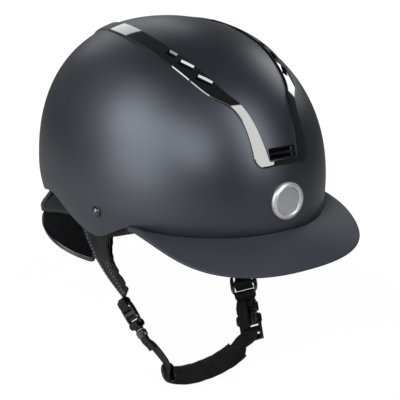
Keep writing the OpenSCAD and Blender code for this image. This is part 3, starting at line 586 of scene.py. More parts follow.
class Tree:
    """Short way to place and link nodes in one tree."""

    def __init__(self, tree: bpy.types.NodeTree) -> None:
        """Keeps the tree."""
        self.tree = tree

    def add(self, kind: str, inputs: Optional[dict] = None, **settings: object) -> bpy.types.Node:
        """Adds a node, sets its settings, and fills or links its inputs.

        Args:
            kind: Blender's name of the node type.
            inputs: Input name or number to a value or an output socket.
            settings: Attributes of the node.

        Returns:
            The node.
        """
        node = self.tree.nodes.new(kind)
        for key, value in settings.items():
            setattr(node, key, value)
        for key, value in (inputs or {}).items():
            if isinstance(value, bpy.types.NodeSocket):
                self.tree.links.new(value, node.inputs[key])
            else:
                node.inputs[key].default_value = value
        return node

    def math(self, operation: str, a: object, b: object = 0.0, clamp: bool = False) -> Socket:
        """Adds a Math node and gives its output."""
        return self.add("ShaderNodeMath", {0: a, 1: b}, operation=operation, use_clamp=clamp).outputs[0]

    def times(self, a: object, b: object) -> Socket:
        """Adds a product."""
        return self.math("MULTIPLY", a, b)

    def plus(self, a: object, b: object) -> Socket:
        """Adds a sum."""
        return self.math("ADD", a, b)

    def wave(self, a: object, b: object) -> Socket:
        """Adds the sine of a product."""
        return self.math("SINE", self.times(a, b))

    def ramp(self, value: Socket, low: float, high: float) -> Socket:
        """Maps a value from low..high to 0..1."""
        inputs = {"Value": value, "From Min": low, "From Max": high}
        return self.add("ShaderNodeMapRange", inputs).outputs[0]

    def own(self) -> Socket:
        """Adds the object's own coordinates."""
        return self.add("ShaderNodeTexCoord").outputs["Object"]

    def cloth(self) -> Sequence[Socket]:
        """Adds the parts of the place on the UV map."""
        return self.parts(self.add("ShaderNodeUVMap", uv_map=UV_NAME).outputs["UV"])

    def parts(self, vector: Socket) -> Sequence[Socket]:
        """Splits a vector."""
        return self.add("ShaderNodeSeparateXYZ", {0: vector}).outputs

    def noise(self, where: Socket, scale: object, detail: float) -> Socket:
        """Adds noise and gives its value."""
        inputs = {"Vector": where, "Scale": scale, "Detail": detail}
        return self.add("ShaderNodeTexNoise", inputs).outputs["Fac"]

    def colours(self, share: Socket, a: object, b: object) -> Socket:
        """Adds a mix of two colours."""
        return self.add("ShaderNodeMix", {0: share, 6: a, 7: b}, data_type="RGBA").outputs[2]

    def shaders(self, share: Socket, a: bpy.types.Node, b: bpy.types.Node) -> bpy.types.Node:
        """Adds a mix of two shaders."""
        return self.add("ShaderNodeMixShader", {0: share, 1: a.outputs[0], 2: b.outputs[0]})


def moulded_grain(t: Tree, given: Given) -> Given:
    """Moulded grain: small pits with a slow change of tone over them.

    Args:
        t: Tree to build in.
        given: The group's inputs.

    Returns:
        Sockets of the height and the tone.
    """
    where = t.own()
    slow = t.noise(where, given["Tone Scale"], 4.0)
    return {"Height": t.noise(where, given["Scale"], 3.0), "Tone": t.ramp(slow, 0.3, 0.7)}


def leather_grain(t: Tree, given: Given) -> Given:
    """Leather: cells of grain with creases between them.

    Args:
        t: Tree to build in.
        given: The group's inputs.

    Returns:
        Sockets of the height and the tone.
    """
    where = t.own()
    bend = t.noise(where, 60.0, 2.0)
    cell = t.add("ShaderNodeTexVoronoi", {"Vector": where, "Scale": given["Scale"]},
                 feature="DISTANCE_TO_EDGE")
    crease = t.ramp(cell.outputs["Distance"], 0.0, 0.25)
    return {"Height": t.plus(t.times(crease, 0.6), t.times(bend, 0.8)), "Tone": crease}


def woven_strap(t: Tree, given: Given) -> Given:
    """Woven webbing: a herringbone of ribs along the strap's UV map, with plain edges.

    Args:
        t: Tree to build in.
        given: The group's inputs.

    Returns:
        Sockets of the height and the tone.
    """
    across, run, _ = t.cloth()
    turn = t.math("DIVIDE", 2 * math.pi, given["Pitch"])
    side = t.math("PINGPONG", t.plus(across, 1.0), 0.0022)
    rib = t.wave(t.plus(run, t.times(side, 1.2)), turn)
    yarn = t.wave(across, t.times(turn, 1.7))
    edge = t.math("DIVIDE", t.math("ABSOLUTE", across), given["Half Width"])
    body = t.plus(t.plus(t.times(rib, 0.35), t.times(yarn, 0.15)), 0.5)
    height = t.plus(body, t.times(t.ramp(edge, 0.8, 0.95), 0.6))
    tone = t.plus(t.times(rib, 0.25), t.times(t.ramp(edge, 0.82, 0.97), 0.6))
    return {"Height": height, "Tone": t.plus(tone, 0.3)}


def knit_cloth(t: Tree, given: Given) -> Given:
    """Knit and brushed cloth: loops in rows under a soft nap.

    Args:
        t: Tree to build in.
        given: The group's inputs.

    Returns:
        Sockets of the height and the tone.
    """
    where = t.own()
    turn = t.math("DIVIDE", 2 * math.pi, given["Pitch"])
    x, y, z = [t.wave(part, turn) for part in t.parts(where)]
    loops, nap = t.times(t.plus(x, y), z), t.times(t.noise(where, 2600.0, 4.0), given["Nap"])
    return {"Height": t.plus(t.times(loops, 0.2), nap), "Tone": t.ramp(t.noise(where, 90.0, 5.0), 0.3, 0.7)}


def air_mesh(t: Tree, given: Given) -> Given:
    """Spacer mesh: rows of small holes over the piece's UV map.

    Args:
        t: Tree to build in.
        given: The group's inputs.

    Returns:
        Sockets of the height and the tone.
    """
    x, y, _ = t.cloth()
    turn = t.math("DIVIDE", 2 * math.pi, given["Pitch"])
    u, v = t.times(t.plus(x, y), turn), t.times(t.math("SUBTRACT", x, y), turn)
    net = t.ramp(t.times(t.math("COSINE", u), t.math("COSINE", v)), -0.1, 0.5)
    return {"Height": net, "Tone": net}


def brushed_metal(t: Tree, given: Given) -> Given:
    """Brushed metal: fine scratches round the badge's middle.

    Args:
        t: Tree to build in.
        given: The group's inputs.

    Returns:
        Sockets of the height and the tone.
    """
    flat = t.add("ShaderNodeMapping", {"Vector": t.own(), "Location": (0.0, 0.0, -0.0134)})
    span = t.add("ShaderNodeMapping", {"Vector": flat.outputs[0], "Scale": (1.0, 0.02, 1.0)})
    scratch = t.noise(span.outputs[0], given["Scale"], 2.0)
    return {"Height": scratch, "Tone": scratch}


def rubbed_edges(t: Tree, given: Given) -> Given:
    """Edges rubbed paler by use.

    Args:
        t: Tree to build in.
        given: The group's inputs.

    Returns:
        Socket of the mask.
    """
    crest = t.ramp(t.add("ShaderNodeNewGeometry").outputs["Pointiness"], 0.52, 0.62)
    patch = t.ramp(t.noise(t.own(), 260.0, 3.0), 0.35, 0.65)
    return {"Mask": t.times(t.times(crest, patch), given["Amount"])}


SHADER_GROUPS = (
    (moulded_grain, {"Scale": 1500.0, "Tone Scale": 14.0}), (leather_grain, {"Scale": 900.0}),
    (woven_strap, {"Pitch": 0.0011, "Half Width": 0.009}), (knit_cloth, {"Pitch": 0.0009, "Nap": 0.5}),
    (air_mesh, {"Pitch": 0.0022}), (brushed_metal, {"Scale": 900.0}), (rubbed_edges, {"Amount": 0.5}))


def shader_group(make: Callable[[Tree, Given], Given], inputs: dict[str, float]) -> None:
    """Builds a shader node group with float inputs, with the name of the function that fills it.

    Args:
        make: The function.
        inputs: Name and value of each input.
    """
    group = bpy.data.node_groups.new(make.__name__, "ShaderNodeTree")
    for key, value in inputs.items():
        group.interface.new_socket(key, in_out="INPUT", socket_type="NodeSocketFloat").default_value = value
    t = Tree(group)
    made = make(t, t.add("NodeGroupInput").outputs)
    for key in made:
        group.interface.new_socket(key, in_out="OUTPUT", socket_type="NodeSocketFloat")
    t.add("NodeGroupOutput", made)


class Surface(Enum):
    """What the face of a finish is like."""

    GRAIN = "moulded_grain"
    LEATHER = "leather_grain"
    WEBBING = "woven_strap"
    KNIT = "knit_cloth"
    AIR_MESH = "air_mesh"
    BRUSHED = "brushed_metal"


@dataclass(frozen=True)
class Finish:
    """One finish: its colours, its face and how it takes the light."""

    name: str
    colour: RGB
    pale: RGB
    surface: Surface
    roughness: float
    tone: float = 0.5
    bump: float = 0.1
    relief: float = 0.0001
    values: tuple[tuple[str, float], ...] = ()
    metallic: float = 0.0
    sheen: float = 0.0
    coat: float = 0.0
    coat_ior: float = 1.5
    specular: float = 0.5
    tint: RGB = (1.0, 1.0, 1.0)
    wear: float = 0.0

    def build(self) -> bpy.types.Material:
        """Makes the finish's material.

        Returns:
            The material, built once and found by name after that.
        """
        if self.name in bpy.data.materials:
            return bpy.data.materials[self.name]
        mat = bpy.data.materials.new(self.name)
        mat.use_nodes = True
        t = Tree(mat.node_tree)
        mat.node_tree.nodes.clear()
        face = t.add("ShaderNodeGroup", node_tree=bpy.data.node_groups[self.surface.value])
        for key, value in self.values:
            face.inputs[key].default_value = value
        share = t.math("MULTIPLY", face.outputs["Tone"], self.tone, clamp=True)
        base = t.colours(share, (*self.colour, 1), (*self.pale, 1))
        if self.wear:
            worn = t.add("ShaderNodeGroup", {"Amount": self.wear},
                         node_tree=bpy.data.node_groups[rubbed_edges.__name__])
            rubbed = [min(1.0, 2.2 * c + 0.02) for c in self.pale]
            base = t.colours(worn.outputs["Mask"], base, (*rubbed, 1))
        bump = t.add("ShaderNodeBump", {"Strength": self.bump, "Distance": self.relief,
                                        "Height": face.outputs["Height"]})
        rough = t.add("ShaderNodeMapRange", {"Value": face.outputs["Tone"],
                                             "To Min": self.roughness - ROUGH_SPREAD,
                                             "To Max": self.roughness + ROUGH_SPREAD})
        shader = t.add("ShaderNodeBsdfPrincipled", {
            "Base Color": base, "Roughness": rough.outputs[0], "Metallic": self.metallic,
            "Sheen Weight": self.sheen, "Sheen Roughness": 0.4, "Coat Weight": self.coat,
            "Coat Roughness": 0.03, "Coat IOR": self.coat_ior, "Specular IOR Level": self.specular,
            "Specular Tint": (*self.tint, 1), "Normal": bump.outputs[0]})
        t.add("ShaderNodeOutputMaterial", {"Surface": shader.outputs[0]})
        return mat


class Finishes:
    """Every finish of the helmet."""

    SHELL = Finish("satin_shell", (0.010, 0.0105, 0.014), (0.013, 0.0135, 0.018), Surface.GRAIN, 0.41,
                   bump=0.05, relief=0.00004, specular=1.0, tint=(0.80, 0.87, 1.0))
    PEAK = Finish("matte_peak", (0.024, 0.027, 0.036), (0.029, 0.032, 0.042), Surface.GRAIN, 0.58,
                  bump=0.08, relief=0.00004, tint=(0.85, 0.9, 1.0), wear=0.2)
    GLOSS = Finish("black_lacquer", (0.002, 0.002, 0.0025), (0.003, 0.003, 0.0035), Surface.GRAIN, 0.06,
                   bump=0.0, relief=0.00002, coat=1.0, coat_ior=1.7, specular=1.0,
                   values=(("Scale", 40.0),))
    SILVER = Finish("brushed_silver", (0.60, 0.60, 0.61), (0.76, 0.76, 0.77), Surface.BRUSHED, 0.36,
                    bump=0.15, relief=0.00003, metallic=0.65)
    PEWTER = Finish("badge_pewter", (0.38, 0.38, 0.39), (0.62, 0.62, 0.63), Surface.BRUSHED, 0.42,
                    bump=0.25, relief=0.00004, metallic=0.6, values=(("Scale", 500.0),))
    RIVET = Finish("dark_rivet_metal", (0.10, 0.10, 0.11), (0.14, 0.14, 0.15), Surface.GRAIN, 0.26,
                   bump=0.02, relief=0.00002, metallic=1.0)
    STEEL = Finish("plain_steel", (0.42, 0.42, 0.43), (0.52, 0.52, 0.53), Surface.GRAIN, 0.35,
                   bump=0.1, relief=0.00003, metallic=1.0)
    FOAM = Finish("bead_foam", (0.010, 0.010, 0.011), (0.020, 0.020, 0.022), Surface.LEATHER, 0.75,
                  bump=0.5, relief=0.0004, values=(("Scale", 320.0),))
    KNIT = Finish("comfort_knit", (0.012, 0.012, 0.014), (0.026, 0.026, 0.028), Surface.KNIT, 0.95,
                  bump=0.5, relief=0.0003, sheen=0.25)
    FLEECE = Finish("nape_fleece", (0.002, 0.002, 0.0025), (0.008, 0.008, 0.009), Surface.KNIT, 0.95,
                    bump=0.9, relief=0.0006, specular=0.08, values=(("Nap", 1.0), ("Pitch", 0.0016)))
    MESH = Finish("nape_air_mesh", (0.005, 0.0055, 0.008), (0.06, 0.0625, 0.078), Surface.AIR_MESH, 0.8,
                  tone=0.7, bump=0.8, relief=0.0005, specular=0.2, values=(("Pitch", 0.0028),))
    PIPING = Finish("piping_leather", (0.003, 0.003, 0.005), (0.006, 0.006, 0.009), Surface.LEATHER, 0.22,
                    bump=0.1, relief=0.0001, specular=0.8)
    LEATHER = Finish("guard_leather", (0.002, 0.002, 0.0025), (0.006, 0.006, 0.007), Surface.LEATHER, 0.40,
                     bump=0.5, relief=0.00018, specular=0.14)
    LINING = Finish("guard_lining", (0.002, 0.002, 0.002), (0.012, 0.012, 0.012), Surface.KNIT, 0.95,
                    bump=0.9, relief=0.0005, sheen=0.08, specular=0.2, values=(("Nap", 1.0),))
    WEBBING = Finish("strap_webbing", (0.002, 0.002, 0.0025), (0.013, 0.013, 0.015), Surface.WEBBING, 0.55,
                     tone=0.7, bump=1.0, relief=0.0003, specular=0.25)
    THREAD = Finish("stitch_thread", (0.05, 0.05, 0.055), (0.09, 0.09, 0.10), Surface.KNIT, 0.8, sheen=0.2)
    PALE_THREAD = Finish("pale_thread", (0.30, 0.30, 0.33), (0.42, 0.42, 0.45), Surface.KNIT, 0.8,
                         sheen=0.2)
    BUCKLE = Finish("polished_plastic", (0.003, 0.003, 0.004), (0.005, 0.005, 0.007), Surface.GRAIN, 0.20,
                    bump=0.1, relief=0.00005, specular=0.7, values=(("Scale", 800.0),), wear=0.1)
    SLEEVE = Finish("chin_sleeve", (0.003, 0.003, 0.003), (0.015, 0.015, 0.016), Surface.KNIT, 0.9,
                    bump=0.9, relief=0.0005, sheen=0.08, specular=0.25,
                    values=(("Nap", 0.9), ("Pitch", 0.0013)))
    RIB = Finish("sleeve_inside", (0.02, 0.02, 0.021), (0.09, 0.09, 0.093), Surface.KNIT, 0.8,
                 bump=0.6, relief=0.0003)
    # Dark ring round each rivet head: painted shadow where the domed head meets the shell.
    COLLAR = Finish("rivet_collar", (0.006, 0.006, 0.007), (0.010, 0.010, 0.011), Surface.GRAIN, 0.4,
                    bump=0.05, relief=0.00003)

    @staticmethod
    def prepare() -> None:
        """Builds the shared shader groups."""
        for make, inputs in SHADER_GROUPS:
            shader_group(make, inputs)


def dress(obj: bpy.types.Object, finish: Finish, body: str, slot: str, nodes: Sequence[str] = (),
          padded: Optional[float] = None) -> bpy.types.Object:
    """Gives a finished piece its finish and its body, and hides the nodes it stands for.

    Args:
        obj: The piece.
        finish: Its finish, unless its mesh already has materials.
        body: The body that it rides on.
        slot: Not used.
        nodes: Frame nodes that it replaces.
        padded: Not used.

    Returns:
        The piece.
    """
    if not obj.data.materials:
        obj.data.materials.append(finish.build())
    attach(obj, body)
    if nodes:
        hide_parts(*nodes)
    LOG.info("%s: %d faces on %s", obj.name, len(obj.data.polygons), body)
    return obj


def hard_piece(node: str, name: str, width: float, finish: Finish, slot: str,
               body: str = ROOT) -> bpy.types.Object:
    """Copies a hard frame node into a dressed piece with rounded edges.

    Args:
        node: The frame's node, which the piece stands for.
        name: Name of the new piece.
        width: Width of the rounding in millimetres.
        finish: Its finish.
        slot: The record's material slot.
        body: The body that it rides on.

    Returns:
        The piece.
    """
    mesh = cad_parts[node].data.copy()
    mesh.materials.clear()
    with editing(mesh) as bm:
        bmesh.ops.remove_doubles(bm, verts=bm.verts, dist=1e-6)
        bmesh.ops.dissolve_limit(bm, angle_limit=math.radians(FLAT_ANGLE), verts=bm.verts, edges=bm.edges)
    obj = resharpen(bevel(link(name, mesh), width), HARD_ANGLE)
    return dress(obj, finish, body, slot, [node])


# ---- Geometry Nodes: stitches, piping and set fasteners ----------------------------------------


def stitch_row(t: Tree, given: Given) -> Socket:
    """Lays stitches end to end along a line.

    Args:
        t: Tree to build in.
        given: The tree's inputs.

    Returns:
        Socket of the geometry.
    """
    curve = t.add("GeometryNodeMeshToCurve", {0: given["Geometry"]})
    points = t.add("GeometryNodeCurveToPoints", {"Curve": curve.outputs[0], "Length": given["Pitch"]},
                   mode="LENGTH")
    bead = t.add("GeometryNodeMeshUVSphere", {"Segments": 6, "Rings": 5, "Radius": 0.5})
    jitter = t.add("FunctionNodeRandomValue", {"Min": 0.9, "Max": 1.1, "Seed": given["Seed"]})
    size = t.add("ShaderNodeCombineXYZ", {0: given["Thickness"], 1: given["Thickness"],
                                          2: t.times(given["Length"], jitter.outputs[1])})
    return t.add("GeometryNodeInstanceOnPoints", {
        "Points": points.outputs["Points"], "Instance": bead.outputs["Mesh"],
        "Rotation": points.outputs["Rotation"], "Scale": size.outputs[0]}).outputs[0]


def piping_run(t: Tree, given: Given) -> Socket:
    """Runs a round cord along a line.

    Args:
        t: Tree to build in.
        given: The tree's inputs.

    Returns:
        Socket of the geometry.
    """
    curve = t.add("GeometryNodeMeshToCurve", {0: given["Geometry"]})
    even = t.add("GeometryNodeResampleCurve", {"Curve": curve.outputs[0], "Length": given["Step"]},
                 mode="LENGTH")
    ring = t.add("GeometryNodeCurvePrimitiveCircle", {"Resolution": given["Sides"],
                                                      "Radius": given["Radius"]})
    return t.add("GeometryNodeCurveToMesh", {"Curve": even.outputs[0], "Profile Curve": ring.outputs[0],
                                             "Fill Caps": True}).outputs[0]


def domed_rivets(t: Tree, given: Given) -> Socket:
    """Sets a domed rivet head on each point, along the point's own direction.

    Args:
        t: Tree to build in.
        given: The tree's inputs.

    Returns:
        Socket of the geometry.
    """
    ball = t.add("GeometryNodeMeshUVSphere", {"Segments": 48, "Rings": 24, "Radius": 1.0})
    size = t.add("ShaderNodeCombineXYZ", {0: given["Radius"], 1: given["Radius"], 2: given["Height"]})
    head = t.add("GeometryNodeTransform", {"Geometry": ball.outputs["Mesh"], "Scale": size.outputs[0]})
    way = t.add("GeometryNodeInputNamedAttribute", {"Name": "way"}, data_type="FLOAT_VECTOR")
    turn = t.add("FunctionNodeAlignRotationToVector", {"Vector": way.outputs[0]}, axis="Z")
    return t.add("GeometryNodeInstanceOnPoints", {"Points": given["Geometry"], "Instance": head.outputs[0],
                                                  "Rotation": turn.outputs[0]}).outputs[0]


GEOMETRY_TREES = (
    (stitch_row, (("Pitch", "Float", 0.003), ("Length", "Float", 0.0022), ("Thickness", "Float", 0.0006),
                  ("Seed", "Int", 7))),
    (piping_run, (("Step", "Float", 0.0015), ("Radius", "Float", 0.0015), ("Sides", "Int", 12))),
    (domed_rivets, (("Radius", "Float", 0.00425), ("Height", "Float", 0.0022))))


def geometry_tree(make: Callable[[Tree, Given], Socket],
                  inputs: Sequence[tuple[str, str, float]]) -> bpy.types.NodeTree:
    """Builds a Geometry Nodes tree that ends with Realize Instances, smooth shading and Set Material.

    Args:
        make: The function that fills it. The tree has its name.
        inputs: Name, kind and value of each input besides the geometry and the material.

    Returns:
        The tree.
    """
    tree = bpy.data.node_groups.new(make.__name__, "GeometryNodeTree")
    sockets = tree.interface
    sockets.new_socket("Geometry", in_out="INPUT", socket_type="NodeSocketGeometry")
    for key, kind, value in inputs:
        sockets.new_socket(key, in_out="INPUT", socket_type=f"NodeSocket{kind}").default_value = value
    sockets.new_socket("Material", in_out="INPUT", socket_type="NodeSocketMaterial")
    sockets.new_socket("Geometry", in_out="OUTPUT", socket_type="NodeSocketGeometry")
    t = Tree(tree)
    given = t.add("NodeGroupInput").outputs
    real = t.add("GeometryNodeRealizeInstances", {0: make(t, given)})
    smooth = t.add("GeometryNodeSetShadeSmooth", {0: real.outputs[0]})
    last = t.add("GeometryNodeSetMaterial", {"Geometry": smooth.outputs[0], "Material": given["Material"]})
    t.add("NodeGroupOutput", {0: last.outputs[0]})
    return tree


class Runs:
    """Lines that a Geometry Nodes tree turns into stitches, piping or set fasteners."""

    trees: dict[str, bpy.types.NodeTree] = {}

    @classmethod
    def prepare(cls) -> None:
        """Builds the trees once."""
        cls.trees = {make.__name__: geometry_tree(make, inputs) for make, inputs in GEOMETRY_TREES}

    @classmethod
    def make(cls, name: str, tree: str, lines: Sequence[Array], finish: Finish, slot: str,
             nodes: Sequence[str] = (), ways: Optional[Array] = None, **sizes: float) -> bpy.types.Object:
        """Makes one dressed piece from lines of points.

        Args:
            name: Name of the piece.
            tree: Name of the tree.
            lines: Lines of points in millimetres.
            finish: The finish.
            slot: The record's material slot.
            nodes: Frame nodes that it replaces.
            ways: A direction for each point, for fasteners.
            sizes: The tree's named inputs, in millimetres.

        Returns:
            The piece, with a plain mesh.
        """
        verts, edges = [], []
        for line in lines:
            start = len(verts)
            verts += (np.asarray(line, float) * MM).tolist()
            edges += [(k, k + 1) for k in range(start, len(verts) - 1)]
        mesh = bpy.data.meshes.new(name)
        mesh.from_pydata(verts, edges if ways is None else [], [])
        if ways is not None:
            mesh.attributes.new("way", "FLOAT_VECTOR", "POINT").data.foreach_set(
                "vector", np.asarray(ways, np.float32).ravel())
        obj = link(name, mesh)
        m = obj.modifiers.new("run", "NODES")
        m.node_group = cls.trees[tree]
        for item in cls.trees[tree].interface.items_tree:
            if item.in_out == "INPUT" and item.name in sizes:
                m[item.identifier] = sizes[item.name] * MM
            elif item.in_out == "INPUT" and item.name == "Material":
                m[item.identifier] = finish.build()
        return dress(apply_modifiers(obj), finish, ROOT, slot, nodes)


# ---- Padding -----------------------------------------------------------------------------------


def coordinates(mesh: bpy.types.Mesh) -> Array:
    """Gives the places of a mesh's points.

    Args:
        mesh: The mesh.

    Returns:
        Rows of coordinates in metres.
    """
    out = np.zeros(len(mesh.vertices) * 3)
    mesh.vertices.foreach_get("co", out)
    return out.reshape(-1, 3)


def puff(obj: bpy.types.Object, cap: float, pressure: float) -> bpy.types.Object:
    """Fills a soft piece like a sewn cushion by a cloth simulation.

    Args:
        obj: The piece, a little smaller than it ends up.
        cap: How far a point may move, in millimetres.
        pressure: Air pressure inside.

    Returns:
        The piece with its new mesh.
    """
    rest = coordinates(obj.data)
    cloth = obj.modifiers.new("cloth", "CLOTH")
    cloth.settings.use_pressure = True
    cloth.settings.uniform_pressure_force = pressure
    cloth.settings.effector_weights.gravity = 0
    cloth.settings.quality = CLOTH_QUALITY
    cloth.point_cache.frame_start, cloth.point_cache.frame_end = 1, CLOTH_FRAMES
    for f in range(1, CLOTH_FRAMES + 1):
        bpy.context.scene.frame_set(f)
    apply_modifiers(obj)
    bpy.context.scene.frame_set(1)
    shift = coordinates(obj.data) - rest
    far = np.maximum(np.linalg.norm(shift, axis=1, keepdims=True) / (cap * MM), 1)
    obj.data.vertices.foreach_set("co", (rest + shift / far).ravel())
    obj.modifiers.new("relax", "SMOOTH").iterations = 4
    sub = obj.modifiers.new("subdivide", "SUBSURF")
    sub.levels = sub.render_levels = 1
    apply_modifiers(obj)
    return resharpen(obj, ALL_SMOOTH)


# ---- Shell, trim, badge and visor --------------------------------------------------------------


def bowl(name: str, outer: Size, inner: Size, depth_at: Callable[[Array], Array], steps: int,
         rows: int, rim: float) -> bpy.types.Object:
    """Makes an open-bottomed dome between two sizes with a rounded lower rim.

    Args:
        name: Name of the piece.
        outer: Sizes of the outer face.
        inner: Sizes of the inner face.
        depth_at: Depth of the rim below the widest level at each angle.
        steps: Points round the dome.
        rows: Rows from the widest level to the crown.
        rim: Height of the rim's rounding in millimetres.

    Returns:
        The dome.
    """
    a = np.arange(steps) * 360.0 / steps
    depth = depth_at(a)

    def sized(share: float) -> Size:
        """Sizes at a share of the wall."""
        return tuple(mix(np.array(outer), np.array(inner), share))

    def face(size: Size) -> list[Array]:
        """Rings of one face from the crown down.

        Args:
            size: Half width, front, rear and height of the dome.

        Returns:
            The rings.
        """
        tops = [FORM.dome(a, size[3] * math.sin(math.radians(t)) ** (2 / FORM.profile_power), size)
                for t in np.linspace(88.6, 0, rows)]
        low = [FORM.dome(a, -(depth - rim) * k, size) for k in np.linspace(0, 1, 10)[1:]]
        return tops + low

    turn = [FORM.dome(a, -(depth - rim) - rim * math.sin(k), sized((1 - math.cos(k)) / 2))
            for k in np.linspace(0, np.pi, 9)[1:-1]]
    rings = np.array(face(outer) + turn + face(inner)[::-1])
    m = len(rings)
    poles = [[0, FORM.crown_shift, outer[3]], [0, FORM.crown_shift, inner[3]]]
    verts = np.vstack([rings.reshape(-1, 3), poles])
    faces = [[i * steps + j, i * steps + (j + 1) % steps, (i + 1) * steps + (j + 1) % steps,
              (i + 1) * steps + j] for i in range(m - 1) for j in range(steps)]
    high, low = m * steps, m * steps + 1
    faces += [[high, (j + 1) % steps, j] for j in range(steps)]
    faces += [[low, (m - 1) * steps + j, (m - 1) * steps + (j + 1) % steps] for j in range(steps)]
    return add_object(name, verts, faces, sharp=60)


@dataclass(frozen=True)
class VentSlot:
    """One vent slot: rise angle, distance from the middle, length and turn."""

    rise: float
    x: float
    length: float
    turn: float
    width: float = 3.6
    tilt: float = 31.0
    reach: float = 3.5

    def seat(self, side: int) -> tuple[Array, Array, Array]:
        """The slot's middle on the shell, the direction outwards and the direction of its length.

        Args:
            side: 1 for the left side, -1 for the right.

        Returns:
            The point and the two directions.
        """
        at = (side * self.x, self.rise, FORM.size())
        t = math.radians(self.turn)
        return FORM.ridge(*at), FORM.ridge_normal(*at), np.array([side * math.sin(t), math.cos(t), 0.0])

    def cutter(self, side: int, depth: float) -> bpy.types.Object:
        """Makes the solid that cuts the slot to a depth under the shell's outside.

        Args:
            side: 1 for the left side, -1 for the right.
            depth: The depth in millimetres.

        Returns:
            The solid.
        """
        seat, way, run = self.seat(side)
        outline = rounded_box(self.length, self.width, 0.7, 6)
        return prism("cutter", outline, -depth, 8, frame_matrix(seat, way, run))

    def slope(self, side: int) -> bpy.types.Object:
        """Makes the solid that cuts the sloped face along the slot's upper side.

        Args:
            side: 1 for the left side, -1 for the right.

        Returns:
            The solid.
        """
        seat, way, run = self.seat(side)
        way, a = unit(way), math.radians(self.tilt)
        run = unit(run - (run @ way) * way)
        out = np.cross(way, run) * (1.0 if side < 0 else -1.0)
        turned = math.cos(a) * way + math.sin(a) * out
        down = math.cos(a) * out - math.sin(a) * way
        seat = seat + 1.52 * way - self.reach * out + 2.1 * down
        outline = rounded_box(self.length - 0.8, 4.2, 0.3, 3)
        return prism("cutter", outline, 0, 6, frame_matrix(seat, turned, run))


SLOTS = (VentSlot(45.4, 36.7, 13.2, 17), VentSlot(54, 40.4, 13.2, 12), VentSlot(61.8, 42.4, 9.8, 5))


def vent_cutters(depth: float, side: float = 0.0) -> list[bpy.types.Object]:
    """Makes the cutters of all slots and of the front window, which may be wider at the sides.

    Args:
        depth: How far they reach under the shell's outside.
        side: By how much the window is wider at each side.

    Returns:
        The cutters.
    """
    tools = [s.cutter(k, depth) for s in SLOTS for k in (-1, 1)]
    window = rounded_box(24 + 2 * side, 8.6 + 2 * side, 1.2, 6)
    at = (0.0, 18.8, FORM.size())
    place = frame_matrix(FORM.ridge(*at), FORM.ridge_normal(*at), np.array([1.0, 0, 0]))
    return tools + [prism("cutter", window, -depth, 6, place)]


@dataclass
class Shell:
    """The outer shell, its front vent and the foam liner inside it."""

    slot_depth: float = 9.0
    liner_slot_depth: float = 60.0
    liner_slot_side: float = 2.0

    def build(self) -> None:
        """Builds the shell's pieces."""
        shell = bowl("shell_satin", FORM.size(), FORM.size(FORM.wall), FORM.edge_depth_at, 240, 56, 1.2)
        cut(shell, vent_cutters(self.slot_depth))
        dress(resharpen(shell, 50), Finishes.SHELL, ROOT, "shell", ["outer_shell"])
        liner = bowl("foam_liner", FORM.size(FORM.wall + FORM.liner_gap), FORM.cavity(),
                     lambda a: FORM.rim_depth(a) - FORM.liner_lift, 144, 36, 3)
        cut(liner, vent_cutters(self.liner_slot_depth, self.liner_slot_side))
        dress(resharpen(liner, 50), Finishes.FOAM, ROOT, "liner_foam", ["impact_liner"])
        hard_piece("vent_louver", "front_louver", 0.35, Finishes.BUCKLE, "gloss_trim")


@dataclass
class Trim:
    """The glossy frame strip that runs over the shell and round the front vent."""

    knots: tuple[tuple[float, float, float], ...] = (
        (20.7, 14.4, 23.8), (28.4, 17.7, 24.8), (34, 21.2, 28.6), (40, 28.2, 39.2), (46.4, 32.3, 44.2),
        (59.4, 38, 49.2), (75, 40, 51.1), (86.5, 39.1, 51.1), (100, 36.2, 48.9), (115.6, 29.8, 41.8),
        (132, 22, 33))
    corner: tuple[tuple[float, float, float, float], ...] = (
        (12.9, 17.3, 23.4, 17.4), (12.2, 16.9, 19.8, 15.6))
    face: tuple[tuple[float, float], ...] = (
        (0, 0.25), (0, 0.95), (0.07, 1.5), (0.2, 1.52), (0.4, 1.53), (0.6, 1.53),
        (0.8, 1.52), (0.965, 1.5), (1, 0.95), (1, 0.25), (0.5, 0.25))

    def edges(self) -> Array:
        """Rows of inner x, inner rise, outer x and outer rise from the rear to the middle.

        Returns:
            The rows.
        """
        fine = spline(np.array(self.knots[::-1]), 190)
        arm = np.stack([fine[:, 1], fine[:, 0], fine[:, 2], fine[:, 0]], 1)
        round_corner = spline(np.array([arm[-1], *self.corner, (8, 16.9, 8, 15.5)]), 22)
        bar = np.array([(x, 16.9, x, 15.5) for x in (6, 4, 2, 0)])
        return np.vstack([arm, round_corner[1:], bar])

    def ring(self, row: Array, side: int) -> Array:
        """One cross-section between an inner and an outer point of the ridge grid.

        Args:
            row: A row of the strip's edges.
            side: 1 for the left side, -1 for the right.

        Returns:
            Points in millimetres.
        """
        out = []
        for share, height in self.face:
            x, rise = mix(row[0], row[2], share), mix(row[1], row[3], share)
            out.append(FORM.ridge(side * x, rise, FORM.size(-height)))
        return np.array(out)

    def build(self) -> None:
        """Builds the strip."""
        rows = self.edges()
        right = [self.ring(r, -1) for r in rows]
        left = [self.ring(r, 1) for r in rows[:-1]][::-1]
        strip = loft("gloss_frame", np.array(right + left), sharp=20)
        cut(strip, [tool for s in SLOTS for k in (-1, 1) for tool in (s.cutter(k, 9), s.slope(k))])
        dress(resharpen(strip, 20), Finishes.GLOSS, ROOT, "gloss_trim", ["trim_frame"])


